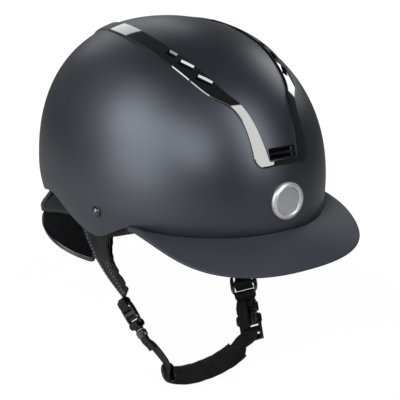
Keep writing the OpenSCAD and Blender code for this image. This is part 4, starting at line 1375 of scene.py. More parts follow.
@dataclass
class Badge:
    """The round badge on the front: a bevelled ring with a plain disc in it."""

    height: float = 13.4
    ring: tuple[tuple[float, float], ...] = (
        (10.0, -1.2), (13.3, -1.2), (13.75, -0.8), (13.75, 1.2), (13.6, 1.5), (13.3, 1.68),
        (12.1, 2.3), (11.8, 2.4), (11.1, 2.4), (10.8, 2.3), (10.1, 1.75), (10.0, 1.55))
    disc: tuple[tuple[float, float], ...] = (
        (0, 0.2), (9.95, 0.2), (9.95, 0.85), (9.8, 1.0), (9.5, 1.05), (0, 1.25))

    def build(self) -> None:
        """Builds the ring and the disc."""
        at = (0.0, self.height, FORM.size())
        seat, way = FORM.dome(*at), FORM.dome_normal(*at)
        for name, profile, finish, slot, node in (
                ("badge_bezel", self.ring, Finishes.SILVER, "badge_silver", "badge_ring"),
                ("badge_face", self.disc, Finishes.PEWTER, "badge_grey", "badge_disc")):
            dress(revolve(name, profile, seat, way, 96), finish, ROOT, slot, [node])


@dataclass
class Visor:
    """The peak: it leaves the shell at a seam and ends in a thin rounded lip."""

    span: float = 50.0
    steps: int = 150
    reach: float = 27.2
    seam: float = -9.0
    seam_fall: float = 4.6
    gap: float = 0.25
    wall: float = 2.6
    crown: float = 1.7

    def root(self, t: float) -> Array:
        """Point of the seam on the shell."""
        fall = self.seam_fall * math.sin(math.radians(90 * abs(t)))
        return FORM.dome(self.span * t, self.seam - fall, FORM.size(-self.gap))

    def low_root(self, t: float) -> Array:
        """Point on the shell under the seam."""
        return FORM.dome(self.span * t, -18.4 + 0.8 * abs(t), FORM.size(-self.gap))

    def lip(self, t: float) -> Array:
        """Upper edge of the lip.

        Args:
            t: Share of the half span, from -1 to 1.

        Returns:
            The point in millimetres.
        """
        s, c = math.sin(math.radians(90 * abs(t))), math.cos(math.radians(90 * abs(t)))
        u, v = s ** (2 / 2.67), max(c, 0) ** (2 / 2.67)
        tip = self.root(1.0)
        half, back = tip[0] + 0.2, tip[1]
        z = -30.2 + 5.628 * u * u + 0.784 * u**5 + 8.485 * u**12
        return np.array([math.copysign(half * u, t), back - (FORM.front + self.reach + back) * v, z + 2.1])

    def section(self, t: float) -> Array:
        """Closed cross-section of the peak at a share of its span.

        Args:
            t: The share, from -1 to 1.

        Returns:
            Points in millimetres.
        """
        root, low, lip = self.root(t), self.low_root(t), self.lip(t)
        out = unit((lip - root) * np.array([1, 1, 0]) + np.array([0, -1e-6, 0]))
        reach = float(np.linalg.norm((lip - root)[:2]))
        wall, bulge = min(self.wall, 0.5 * reach + 0.8), self.crown * min(1, reach / 14)
        up = np.array([0, 0, 1.0])
        k = min(1.0, reach / 8)
        top = [root + out * 0.5 * k - up * 0.15]
        for s in np.linspace(0.08, 0.97, 16):
            top.append(mix(root, lip, s) + up * bulge * math.sin(math.pi * s**0.85) * 1.05)
        r = wall * 0.42
        edge = [lip - up * r + r * (out * math.cos(a) * min(1, 0.5 * reach / r) + up * math.sin(a))
                for a in np.radians([75, 50, 25, 0, -25, -50, -75])]
        edge = [p - out * r * 0.3 for p in edge]
        end = lip - up * wall * 0.8
        under = [mix(end, low, s) + up * bulge * 0.7 * math.sin(math.pi * s)
                 for s in np.linspace(0.03, 1, 12)]
        back = [low + up * 0.02, root - up * 1.4,
                root - up * 0.7 + out * 0.06 * k, root - up * 0.4 + out * 0.24 * k]
        return np.array(top + edge + under + back)

    def build(self) -> None:
        """Builds the peak and its hidden screws."""
        turn = np.linspace(-1, 1, self.steps)
        peak = loft("matte_peak", np.array([self.section(t) for t in turn]), sharp=50)
        dress(peak, Finishes.PEAK, ROOT, "visor", ["visor"])
        hard_piece("visor_screws", "peak_screws", 0.2, Finishes.STEEL, "fastener_steel")


@dataclass
class Rivets:
    """Domed rivets of the front straps, with their washers inside, and the rear strap plates; a dark ring
    round each head paints its shadow on the shell.
    """

    angle: float = 64.8
    depth: float = 8.9
    radius: float = 3.9
    height: float = 2.9
    # Profile of the dark ring round each head, which paints the head's shadow on the shell.
    collar: tuple[tuple[float, float], ...] = (
        (3.6, -0.6), (4.6, -0.6), (4.6, 0.22), (4.4, 0.36), (3.6, 0.25))

    def build(self) -> None:
        """Builds the rivet heads by Geometry Nodes and the plain parts from the frame."""
        seat = FORM.dome(self.angle, -self.depth, FORM.size(-0.1))
        way = FORM.dome_normal(self.angle, -self.depth, FORM.size())
        Runs.make("rivet_heads", "domed_rivets", [np.array([seat, flip(seat)])], Finishes.RIVET,
                  "rivet_steel", ["strap_rivets"], np.array([way, flip(way)]),
                  Radius=self.radius, Height=self.height)
        for name, k in (("left", 1), ("right", -1)):
            # The dark ring round each head is painted shadow.
            collar = revolve(f"{name}_rivet_collar", self.collar, flip(seat, k), flip(way, k), 48)
            dress(collar, Finishes.COLLAR, ROOT, "rivet_steel")
        for node, name in (("rivet_washers", "inner_washers"), ("rear_anchors", "rear_plates")):
            hard_piece(node, name, 0.25, Finishes.STEEL, "fastener_steel")


# ---- Soft liner and nape -----------------------------------------------------------------------


@dataclass
class Comfort:
    """Cushions inside the liner, and the headband's soft edge."""

    grid: tuple[int, int] = (26, 12)
    gap: float = 0.9
    fill: float = 0.6
    pads: tuple[tuple[str, str, tuple[float, float], tuple[float, float], float, int], ...] = (
        ("brow_cushion", "brow_pad", (-56, 56), (-6, 26), 8, 1),
        ("left_cushion", "side_pad_left", (59, 112), (-6, 34), 6, 1),
        ("right_cushion", "side_pad_right", (59, 112), (-6, 34), 6, -1))
    roll_turn: tuple[float, ...] = (38, 44, 47, 50, 53, 56, 59, 62, 65)
    roll_foot: tuple[float, ...] = (-14, -17.4, -20.2, -22.8, -25.2, -27.8, -30.2, -32.4, -33.0)

    def wall(self, name: str, angles: tuple[float, float], levels: tuple[float, float], thick: float,
             side: int) -> bpy.types.Object:
        """Makes a cushion on the cavity's wall, ready to be filled.

        Args:
            name: Name of the piece.
            angles: Where it starts and ends, in degrees from the front.
            levels: Its lowest and highest level.
            thick: Its thickness in millimetres.
            side: -1 mirrors it to the right.

        Returns:
            The cushion.
        """
        rows = []
        for deep in (0.25, 0.8):
            u, v = np.meshgrid(*(np.linspace(0, 1, n) for n in self.grid))
            swell = 0.3 + 0.7 * (1 - np.abs(2 * u - 1) ** 5) * (1 - np.abs(2 * v - 1) ** 4)
            a, z = mix(*angles, 0.02 + 0.96 * u), mix(*levels, 0.04 + 0.92 * v)
            p = [[FORM.dome(a[i, j], z[i, j], FORM.cavity(self.gap + deep * thick * swell[i, j]))
                  for j in range(self.grid[0])] for i in range(self.grid[1])]
            rows.append(flip(p, side))
        return slab(name, rows[0], rows[1])

    def crown(self) -> bpy.types.Object:
        """Makes the crown cushion with channels that run out from its middle.

        Returns:
            The cushion.
        """
        a = np.arange(108) * 360.0 / 108
        rings = []
        for part in (0, 1):
            levels = np.linspace(85, 57, 16)
            for t in levels if part == 0 else levels[::-1]:
                groove = 0.3 * (1 - np.abs(np.sin(np.radians(3 * a)))) * (1 - ease(np.array((t - 69) / 16)))
                deep = 7 * (0.45 + 0.55 * math.sin(math.radians(180 * (t - 54) / 36))) * (1 - groove)
                deep = deep if part == 0 else 0.1 * deep
                ring = []
                for k, d in zip(a, deep):
                    s = FORM.cavity(self.gap + d)
                    high = s[3] * math.sin(math.radians(t)) ** (2 / FORM.profile_power)
                    ring.append(FORM.dome(k, high, s))
                rings.append(ring)
        return loft("crown_cushion", np.array(rings), sharp=ALL_SMOOTH)

    def build(self) -> None:
        """Builds and fills the cushions."""
        for name, node, angles, levels, thick, side in self.pads:
            pad = puff(self.wall(name, angles, levels, thick, side), 1.5, 1.5)
            dress(pad, Finishes.KNIT, ROOT, "comfort_fabric", [node], padded=self.fill)
        dress(self.crown(), Finishes.KNIT, ROOT, "comfort_fabric", ["crown_pad"], padded=self.fill)
        for side, name in ((1, "left"), (-1, "right")):
            roll = self.edge_roll(f"{name}_edge_roll", side)
            dress(roll, Finishes.LINING, ROOT, "comfort_fabric", padded=0.5)

    def edge_roll(self, name: str, side: int) -> bpy.types.Object:
        """Makes the headband's soft edge, which shows below the shell between the visor and the guard.

        Args:
            name: Name of the piece.
            side: 1 for the left side, -1 for the right.

        Returns:
            The roll.
        """
        rings = []
        for a in np.linspace(self.roll_turn[0], self.roll_turn[-1], 56):
            foot = np.interp(a, self.roll_turn, self.roll_foot)
            top = -FORM.rim_depth(np.array(a)) + FORM.liner_lift + 0.5
            lump = 0.25 * math.sin(2.6 * a)
            ring = []
            for k in np.radians(np.arange(0, 360, 24)):
                deep = 6.6 + (3.1 + lump) * math.cos(k)
                high = mix(foot, top, (1 + math.sin(k)) / 2)
                ring.append(FORM.dome(a, high, FORM.size(deep)))
            rings.append(ring)
        return loft(name, flip(rings, side), sharp=ALL_SMOOTH)


@dataclass
class Nape:
    """The rear piece below the shell: a panel of air mesh, a cushion and double piping."""

    top: float = 8.8
    seam: float = 46.0
    bottom: float = 58.0
    end_fall: float = 17.0
    seam_rise: float = 9.0
    panel_end: float = 104.0
    thick: float = 2.4
    proud: float = 0.7
    piping_radius: float = 1.35
    rim_radius: float = 2.2
    rim_line: tuple[tuple[float, float, float], ...] = (
        (-20, 120.5, 4), (-25, 121, 3), (-29, 122.5, 2.4), (-33, 124, 1.4), (-37, 126, 0.5),
        (-42, 128, -0.1), (-46, 130, -0.5), (-49, 130, -1))

    def closing(self, a: Array) -> Array:
        """How far the plan has closed in towards its ends."""
        return (1 - np.clip(np.abs(a) - 96, 0, 38) / 38) ** 2.2

    def at(self, a: Array, z: Array, deep: Array) -> Array:
        """Points of the nape piece at angles from the front, heights and depths.

        Args:
            a: Angles in degrees.
            z: Heights.
            deep: Depths under the face.

        Returns:
            Points in millimetres.
        """
        a, z, deep = np.broadcast_arrays(np.asarray(a, float), z, deep)
        full = 0.912 + 0.074 * ease((-z - FORM.edge_depth_at(np.abs(a))) / 16)
        full = full - 0.012 * (np.maximum(0, -z - self.seam) / 20) ** 2 - 0.27 * self.closing(a)
        r = FORM.plan(a, FORM.size()) * full - deep
        return np.stack([r * np.sin(np.radians(a)), -r * np.cos(np.radians(a)), z], -1)

    def edge(self, a: Array) -> Array:
        """Height of the lower edge."""
        return -self.bottom - self.end_fall * self.closing(a) ** 0.5

    def seam_at(self, a: Array) -> Array:
        """Height of the seam between the panel and the cushion."""
        return -self.seam + self.seam_rise * ease((128 - np.abs(a)) / 22)

    def span(self, u: Array, end: float) -> Array:
        """Signed angle at a share of a span round the rear."""
        a = 180 + (180 - end) * (2 * u - 1)
        return np.where(a > 180, a - 360, a)

    def panel(self) -> bpy.types.Object:
        """Makes the mesh panel, with the UV map of its fabric.

        Returns:
            The panel.
        """
        u, v = np.meshgrid(np.linspace(0, 1, 121), np.linspace(0, 1, 26))
        a = self.span(u, self.panel_end)
        z = mix(self.seam_at(a), np.full(a.shape, -self.top), v)
        swell = 0.25 + 0.75 * np.sin(np.pi * np.clip(v * 1.05, 0, 1)) ** 0.5
        edge = np.clip(np.minimum(u, 1 - u) * 30, 0, 1) ** 0.5
        outer = self.at(a, z, -self.proud * (swell * edge - 0.5))
        inner = self.at(a, z, self.thick - self.proud)
        steps = np.linalg.norm(np.diff(outer, axis=1), axis=2)
        run = np.concatenate([np.zeros((len(outer), 1)), np.cumsum(steps, 1)], 1)
        uv = np.stack([run * MM, (z - z[0, 0]) * MM], -1)
        return slab("nape_mesh_panel", outer, inner, uv)

    def cushion(self) -> bpy.types.Object:
        """Makes the fleece cushion under the panel, ready to be filled.

        Returns:
            The cushion.
        """
        u, v = np.meshgrid(np.linspace(0.002, 0.998, 110), np.linspace(0.01, 0.99, 15))
        a = self.span(u, 96)
        z = mix(self.edge(a), self.seam_at(a) + 7, v)
        s = (0.45 + 0.55 * (1 - np.abs(2 * u - 1) ** 8) * np.sin(np.pi * v) ** 0.7) * 8
        lumps = 0.25 * np.sin(2 * np.pi * 19 * u + 3 * v) * np.sin(np.pi * v)
        lumps = lumps + 0.2 * np.sin(2 * np.pi * 31 * u)
        tuck = 3.4 * ease((v - 0.35) / 0.4)
        outer = self.at(a, z, 0.5 - s * 0.1 + lumps + tuck)
        return slab("nape_cushion", outer, self.at(a, z, 0.85 * s + 0.6 * tuck))

    def rim(self, side: int) -> Array:
        """Line of the thick piping that rises behind the mesh, from the cushion to the shell.

        Args:
            side: 1 for the left side, -1 for the right.

        Returns:
            Points in millimetres.
        """
        z, turn, proud = np.array(self.rim_line).T
        return spline(self.at(side * turn, z, -proud), 60)

    def build(self) -> None:
        """Builds the nape's pieces."""
        dress(self.panel(), Finishes.MESH, ROOT, "nape_mesh", ["nape_panel"])
        cushion = puff(self.cushion(), 1.2, 1.0)
        dress(cushion, Finishes.FLEECE, ROOT, "nape_fabric", ["nape_pad"], padded=0.7)
        a = self.span(np.linspace(0, 1, 260), 96.4)
        t = (np.arange(16) + 0.5) / 16
        low = self.edge(a) - 1.0
        turn = np.concatenate([a[0] - np.sign(a[0]) * 1.4 + 0 * t, a, a[-1] - np.sign(a[-1]) * 1.4 + 0 * t])
        z = np.concatenate([mix(-30.0, low[0], t), low, mix(low[-1], -30.0, t)])
        border = self.at(turn, z, 0.3)
        for _ in range(4):
            border[1:-1] = (border[:-2] + 2 * border[1:-1] + border[2:]) / 4
        cords = [border, self.at(a, self.edge(a) + 1.5, -0.5)]
        for name, lines, nodes, radius in (
                ("nape_piping_cords", cords, ["nape_piping"], self.piping_radius),
                ("nape_rim_cords", [self.rim(1), self.rim(-1)], [], self.rim_radius)):
            Runs.make(name, "piping_run", lines, Finishes.PIPING, "piping", nodes, Radius=radius)
        b = self.span(np.linspace(0.004, 0.996, 240), self.panel_end)
        rows = [self.at(b, self.seam_at(b) + 2.2, -0.1)]
        rows += [self.at(k, np.linspace(-35, -22, 14), -0.25) for k in (106.0, -106.0)]
        Runs.make("nape_stitches", "stitch_row", rows, Finishes.THREAD, "nape_mesh",
                  Pitch=2.6, Length=2.0, Thickness=0.6)


# ---- Harness -----------------------------------------------------------------------------------


class HarnessForm:
    """Frames of the straps near the jaw, and the routes of the webbing, in millimetres."""

    hang = np.array([57.6, -35.3, -120.1])
    down = unit(np.array([-0.228, -0.6, -0.767]))
    aside = np.array([0.07, 0.775, -0.627])
    wide0 = unit(aside - (aside @ down) * down)
    out0 = np.cross(down, wide0)
    shift = np.array([-3.6, 0.0, 0.0])
    turn_left, turn_buckle, turn_right, turn_keeper = 40.0, 24.0, 10.0, 17.0
    leg = 0.85
    head, foot = 84.0, 62.5
    lean_top, guard_foot = -17.0, -96.8

    @classmethod
    def wide(cls, turn: float) -> Array:
        """Direction of the width, towards the rear."""
        t = math.radians(turn)
        return math.cos(t) * cls.wide0 - math.sin(t) * cls.out0

    @classmethod
    def out(cls, turn: float) -> Array:
        """Direction away from the head."""
        t = math.radians(turn)
        return math.cos(t) * cls.out0 + math.sin(t) * cls.wide0

    @classmethod
    def at(cls, s: float, y: float, turn: float, left: bool = False) -> Array:
        """Point at a distance down the strap and out from the head."""
        return cls.hang + cls.down * s + cls.out(turn) * y + (cls.shift if left else 0)

    @classmethod
    def guard_x(cls, z: Array, draw: float) -> Array:
        """Distance of an ear guard from the middle at a height."""
        return cls.head - draw * (np.maximum(0, cls.lean_top - z) / (cls.lean_top - cls.guard_foot)) ** 2


H = HarnessForm


def webbing(name: str, route: Sequence[Array], ways: Sequence[Array], nodes: Sequence[str] = (),
            width: float = 18.0, step: float = 1.2, mirrored: bool = False,
            body: Optional[str] = ROOT) -> bpy.types.Object:
    """Makes flat webbing along a route, with rounded edges and the UV map of its weave.

    Args:
        name: Name of the piece.
        route: Points along the middle of the webbing.
        ways: Direction of the width at each point. The last one stands for all that follow.
        nodes: Frame nodes that it replaces.
        width: Width of the webbing.
        step: Distance between sections.
        mirrored: Whether the piece is mirrored to the right side.
        body: The body that it rides on, or None for a piece that is dressed later.

    Returns:
        The webbing.
    """
    ways = [ways[min(i, len(ways) - 1)] for i in range(len(route))]
    rows = [np.concatenate([p, w / np.linalg.norm(w)]) for p, w in zip(np.array(route, float), ways)]
    length = float(np.linalg.norm(np.diff(np.array(route, float), axis=0), axis=1).sum())
    fine = spline(np.array(rows), max(6, int(length / step)))
    if mirrored:
        fine = fine * np.array([-1, 1, 1, -1, 1, 1])
    r, half = WEBBING_THICKNESS / 2, width / 2
    edge, turn = half - r, np.radians([50, 15, -15, -50])
    outline = [(x, r) for x in np.linspace(-half + r, edge, 13)]
    outline += [(edge + r * math.cos(a), r * math.sin(a)) for a in turn]
    outline += [(x, -r) for x in np.linspace(edge, -half + r, 13)]
    outline += [(-half + r - r * math.cos(a), r * math.sin(a)) for a in turn[::-1]]
    rings, uv, run = [], [], 0.0
    for i, row in enumerate(fine):
        p, h = row[:3], row[3:]
        a, b = fine[max(0, i - 1)][:3], fine[min(len(fine) - 1, i + 1)][:3]
        run += float(np.linalg.norm(p - fine[i - 1][:3])) if i else 0.0
        d = unit(b - a)
        x = unit(h - (h @ d) * d)
        n = np.cross(d, x)
        rings.append([p + x * u + n * v for u, v in outline])
        uv.append([(u * MM, run * MM + 1.0) for u, v in outline])
    web = loft(name, np.array(rings), uv=np.array(uv), sharp=70)
    return dress(web, Finishes.WEBBING, body, "webbing", nodes) if body else web


@dataclass(frozen=True)
class Side:
    """One side of the harness."""

    name: str
    left: bool
    twist: float
    turn: float
    leave: float

    @property
    def draw(self) -> float:
        """How far the guard leans in towards its lower end."""
        return H.head - H.foot - (H.shift[0] if self.left else 0.0)

    @property
    def sign(self) -> int:
        """Sign of the side's X coordinates."""
        return 1 if self.left else -1


SIDES = (Side("left", True, 2.4, H.turn_left, 33.6), Side("right", False, 0.4, H.turn_right, H.turn_keeper))


@dataclass
class EarGuard:
    """A padded leather triangle with its piping, seams and lining, and the straps that hold it."""

    side: Side
    rise: tuple[float, ...] = (0, 0.22, 0.42, 0.62, 0.8, 0.92, 1)
    rear: tuple[float, ...] = (22, 16, 9, 2, -7, -14, -18)
    front: tuple[float, ...] = (-40, -33, -27, -26, -29, -31, -32)
    foot_slant: float = 5.5
    half_thick: float = 2.0
    weave: tuple[tuple[float, float], ...] = (
        (-23, 2.2), (-20, 2.6), (-15.6, 1.6), (-10.5, -2.5), (-6.2, 0.6), (-4.7, 1.2))
    front_low: tuple[tuple[float, float, float], ...] = (
        (7.5, -36.5, -37), (5.6, -33, -48), (4.3, -30, -58))
    rear_low: tuple[tuple[float, float, float], ...] = (
        (7.5, 14, -62), (3.8, 1, -68), (2.6, -8, -75))
    rear_ways: tuple[tuple[float, float, float], ...] = (
        (0.76, -0.64, 0), (0.76, -0.64, 0), (0.5, -0.1, 0.5), (0.1, 0.5, 0.8), (0.1, 0.6, 0.7),
        (0.2, 0.62, 0.73), (0.28, 0.62, 0.73))

    def point(self, u: Array, v: Array, side: Array) -> Array:
        """Points of the guard at shares of its width and height, and to its inner or outer side.

        Args:
            u: Share of the width, from the rear.
            v: Share of the height, from the top.
            side: From -1, the inner face, to 1, the outer one.

        Returns:
            Points in millimetres.
        """
        u, v, side = np.broadcast_arrays(np.asarray(u, float), v, side)
        y = mix(np.interp(v, self.rise, self.rear), np.interp(v, self.rise, self.front), u)
        top = -FORM.rim_depth(np.degrees(np.arctan2(H.head, -y))) + 4.2
        z = mix(top, H.guard_foot, v) + (2 * u - 1) * self.foot_slant * v * v
        crown = (1 - np.clip(np.abs(2 * u - 1), 0, 1) ** 4) * (1 - np.abs(2 * v - 1) ** 8)
        swell = 0.5 + 0.5 * crown
        x = H.guard_x(z, self.side.draw) + side * self.half_thick * swell
        x = x + (2 * u - 1) * self.side.twist * v * v
        return np.stack([x * self.side.sign, y, z], -1)

    def lining(self) -> bpy.types.Object:
        """Makes the fleece lining inside the guard, lumpy where it shows past the front edge.

        Returns:
            The lining.
        """
        c, v = np.meshgrid(np.arange(16), np.linspace(0.02, 0.985, 72))
        past = np.interp(v, (0, 0.3, 0.5, 0.65, 0.8, 0.92, 1), (0.04, 0.06, 0.14, 0.28, 0.42, 0.54, 0.4))
        past = past * (1 + 0.2 * np.sin(34 * v) + 0.14 * np.sin(61 * v + 1))
        inner, outer = np.clip(c / 8, 0, 1), np.clip((c - 8) / 7, 0, 1)
        across = mix(0.25, 1.0, inner) + past * outer
        lump = 1 + 0.2 * np.sin(40 * v + 2 * outer)
        rise = 1.7 * np.sqrt(np.clip(1 - (2 * outer - 1) ** 2, 0, 1)) * np.clip(past / 0.2, 0, 1) * lump
        near = self.point(across, v, -1.25 + rise)
        far = self.point(across, v, -1.6 - 0.7 * lump * (1 - outer ** 4) * np.clip(6 * inner, 0, 1))
        return slab(f"{self.side.name}_guard_lining", near, far, sharp=ALL_SMOOTH)

    def build(self) -> None:
        """Builds the guard, its cords and its straps."""
        name = self.side.name
        u, v = np.meshgrid(np.linspace(0, 1, 44), np.linspace(0, 1, 110))
        guard = slab(f"{name}_ear_guard", self.point(u, v, 1.0), self.point(u, v, -1.0), sharp=60)
        dress(guard, Finishes.LEATHER, ROOT, "ear_leather", [f"ear_guard_{name}"], padded=0.5)
        dress(puff(self.lining(), 0.8, 0.6), Finishes.LINING, ROOT, "ear_leather", padded=0.6)
        w = np.linspace(0.02, 0.99, 90)
        cords = [self.point(u, w, 0.3) for u in (0.0, 1.0)]
        ribs = [self.point(0.80 - 0.1 * w, w, 0.85), self.point(0.27 + 0.1 * w, w, 0.85)]
        for kind, lines, radius in (("piping", cords, 1.2), ("ribs", ribs, 0.75)):
            Runs.make(f"{name}_guard_{kind}", "piping_run", lines, Finishes.PIPING, "piping", Radius=radius)
        w = np.linspace(0.06, 0.97, 80)
        rows = [self.point(0.14 + 0.05 * w, w, 1.05), self.point(0.90 - 0.05 * w, w, 1.05)]
        Runs.make(f"{name}_guard_stitches", "stitch_row", rows, Finishes.PALE_THREAD, "ear_leather",
                  Pitch=3.2, Length=2.0, Thickness=0.6)
        self.front_strap()
        self.rear_strap()
        self.adjuster()

    def front_strap(self) -> None:
        """Builds the strap from the rivet down into the guard."""
        size, turn = FORM.size(FORM.wall + 1.3), Rivets.angle
        route = [FORM.dome(turn, z, size) for z in (4.0, -4.0, -12.0, -20.0, -27.0)]
        across = FORM.dome(turn + 1, 0.0, size) - FORM.dome(turn - 1, 0.0, size)
        route += [np.array([H.guard_x(z, 21.5) + gap, y, z]) for gap, y, z in self.front_low]
        webbing(f"{self.side.name}_front_web", route, [across] * 5 + [np.array([0.1, 1, 0])],
                [f"front_strap_{self.side.name}"], 12, mirrored=not self.side.left)

    def rear_strap(self) -> None:
        """Builds the strap from the rear anchor to the guard's inside."""
        start = np.array([64.0, 76.0, -10.4])
        route = [start, start - [0, 0, 2], start + [1.2, -4, -10], start + [4.4, -20, -23.6],
                 start + [3.6, -42, -39.6]]
        route += [np.array([H.guard_x(z, self.side.draw) - 3.3 - gap, y, z])
                  for gap, y, z in self.rear_low]
        ways = [np.array(w, float) for w in self.rear_ways]
        webbing(f"{self.side.name}_rear_web", route, ways, [f"rear_strap_{self.side.name}"], 14,
                mirrored=not self.side.left)

    def adjuster(self) -> None:
        """Builds the loop that hangs the adjuster, the adjuster and the webbing in its windows."""
        name, mirrored, turn = self.side.name, not self.side.left, self.side.turn
        points = [H.at(-s - 21, y, turn, self.side.left) for s, y in loop_route(4.0)]
        webbing(f"{name}_guard_loop_web", points, [H.wide(turn)], [f"guard_loop_{name}"], 13, 0.5, mirrored)
        hard_piece(f"adjuster_{name}", f"{name}_oval_adjuster", 0.55, Finishes.BUCKLE, "buckle_plastic")
        points = [H.at(s, y, turn, self.side.left) for s, y in self.weave]
        webbing(f"{name}_adjuster_web", points, [H.wide(turn)], (), 17.2, mirrored=mirrored)


def loop_route(reach: float, turn: float = 3.15) -> list[tuple[float, float]]:
    """Route round a bar: pairs of distance down the strap and out from it.

    Args:
        reach: How far the legs reach down the strap.
        turn: Radius of the bend round the bar.

    Returns:
        The pairs, from one leg to the other.
    """
    mid = (H.leg + turn) / 2 + 0.35
    leg = [(reach / 2, mid), (reach - 1, H.leg + 0.1), (reach, H.leg)]
    arc = [(-turn * math.sin(a), -turn * math.cos(a)) for a in np.radians(np.arange(0, 181, 30))]
    return [(p[0], -p[1]) for p in leg[::-1]] + arc + leg


@dataclass
class StrapLoop:
    """The webbing round the adjuster's lowest bar, which the chin strap or the buckle hangs from."""

    side: Side
    body: str
    reach: float = 4.6
    bend: float = 0.6

    def build(self) -> None:
        """Builds the loop."""
        left, turn = self.side.left, self.side.turn
        route = loop_route(self.reach)
        turns = [self.side.leave if i < 2 or i > len(route) - 3 else turn for i in range(len(route))]
        points = [H.at(s, y, k, left) for (s, y), k in zip(route, turns)]
        loop = webbing(f"{self.side.name}_strap_loop_web", points, [H.wide(k) for k in turns], step=0.5,
                       mirrored=not left, body=None)
        loop.data.materials.append(Finishes.WEBBING.build())
        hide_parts(f"strap_loop_{self.side.name}")
        near, far = (flip(H.at(s, 0, turn, left) * MM, self.side.sign) for s in (self.bend, self.reach))
        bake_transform(loop)
        LOG.info("%s: %d faces between %s and %s", loop.name, len(loop.data.polygons), ROOT, self.body)


@dataclass
class ChinStrap:
    """The main webbing with its keeper and tail, the knitted sleeve and the buckle's female half."""

    pad_route: tuple[tuple[float, float, float], ...] = (
        (-42.8, -61.4, -156.2), (-37.6, -62.4, -159.8), (-28, -62.6, -162.8), (-14, -61.8, -164.6),
        (0, -60.4, -165), (11, -59, -164.4), (20, -57.6, -163.2), (27, -56.2, -161.8),
        (32.2, -55.2, -160.2))
    pad_ways: tuple[tuple[float, float, float], ...] = (
        (0.3, 0.9, 0.3), (0.16, 0.93, 0.28), (0.04, 0.95, 0.26), (0, 0.96, 0.25))
    side_route: tuple[tuple[float, float, float], ...] = (
        (-50.6, -47.9, -134.6), (-46.6, -54, -141.4), (-43.4, -58.8, -148.6))
    side_ways: tuple[tuple[float, float, float], ...] = (
        (0.212, 0.771, -0.601), (0.192, 0.82, -0.539), (0.204, 0.896, -0.395))
    outside: tuple[float, float, float] = (21.3, 6.7, 0.86)
    bore: tuple[float, float, float] = (19.8, 3.2, 0.3)
    keeper_seat: float = 8.6
    keeper_half: tuple[float, float, float] = (9.6, 2.35, 2.7)
    keeper_wall: float = 0.55

    def pad_way(self, i: int) -> Array:
        """Direction of the sleeve's width at a point of its route."""
        return np.array(self.pad_ways[min(i, len(self.pad_ways) - 1)])

    def main(self) -> bpy.types.Object:
        """Makes the main webbing from the right loop to the buckle's ladder bar.

        Returns:
            The webbing.
        """
        top = [flip(H.at(s, -H.leg, H.turn_keeper)) for s in (4.9, 10, 15.5)]
        loop = [H.at(32.7 - 2.55 * math.cos(a), 1 + 2.55 * math.sin(a), H.turn_buckle, True)
                for a in np.radians(np.arange(-90, 131, 27.5))]
        route = top + [np.array(p) for p in self.side_route + self.pad_route]
        route += [np.array([37.2, -54.4, -154.6]), H.at(37.3, -2.7, H.turn_buckle, True)] + loop
        ways = [flip(H.wide(H.turn_keeper))] * 3 + [np.array(w) for w in self.side_ways]
        ways += [self.pad_way(i) for i in range(9)] + [np.array([0.2, 0.95, 0.1]), H.wide(H.turn_buckle)]
        return webbing("chin_web", route, ways, ["chin_strap"], step=1.0, body="chin")

    def sleeve(self) -> bpy.types.Object:
        """Makes the sleeve as a thick-walled tube, open at both ends.

        Returns:
            The sleeve.
        """
        rows = np.array([np.concatenate([p, unit(self.pad_way(i))]) for i, p in enumerate(self.pad_route)])
        line = spline(rows, 72)
        rings = []
        turn = np.radians(np.arange(0, 360, 10))
        for inner in (False, True):
            part = []
            for i, row in enumerate(line):
                a, b = line[max(0, i - 1)][:3], line[min(len(line) - 1, i + 1)][:3]
                d = unit(b - a)
                x = unit(row[3:] - (row[3:] @ d) * d)
                n = np.cross(d, x)
                k = i / (len(line) - 1)
                taper = 1 - 0.2 * abs(2 * k - 1) ** 4
                pucker = 0.2 * math.sin(41 * k) + 0.15 * math.sin(23 * k + 1)
                w, t, power = self.bore
                if not inner:
                    w, t, power = self.outside
                    w, t = w + pucker, (t + pucker) * taper
                flare = 1 + 0.9 * ease(1 - i / 7.0)
                start, end = ease(1 - i / 8.0), ease(1 - (len(line) - 1 - i) / 5.0)
                ring = []
                for c in turn:
                    cc, ss = math.cos(c), math.sin(c)
                    frill = math.sin(5 * c) + 0.6 * math.sin(8 * c + 1)
                    slant = start * (2.6 * ss - 1.6 * cc) + end * 1.3 * frill
                    ring.append(row[:3] + d * slant + x * bow(cc, power) * w / 2
                                + n * bow(ss, power) * t * flare / 2)
                part.append(ring)
            rings += part[::-1] if inner else part
        sleeve = loft("chin_sleeve", np.array(rings), closed=True, sharp=75)
        sleeve.data.materials.append(Finishes.SLEEVE.build())
        sleeve.data.materials.append(Finishes.RIB.build())
        for face in sleeve.data.polygons:
            face.material_index = 1 if face.index // len(turn) >= len(line) else 0
        return sleeve

    def keeper(self) -> bpy.types.Object:
        """Makes the sliding loop that holds the webbing's tail, rounded all over.

        Returns:
            The keeper.
        """
        side, down = flip(H.wide(H.turn_keeper)), flip(H.down)
        out, mid = flip(H.out(H.turn_keeper)), flip(H.at(self.keeper_seat, 0.0, H.turn_keeper))
        half_width, half_depth, half_height = self.keeper_half
        rings = []
        for c in np.radians(np.arange(0, 360, 6)):
            across, over = bow(math.cos(c), 0.35), bow(math.sin(c), 0.5)
            way = unit(side * across + out * over)
            core = mid + side * across * half_width + out * over * half_depth
            ring = []
            for k in np.radians(np.arange(0, 360, 30)):
                along = bow(math.sin(k), 0.5)
                ring.append(core + way * self.keeper_wall * math.cos(k) + down * half_height * along)
            rings.append(ring)
        return loft("sliding_keeper", np.array(rings), closed=True, sharp=70)

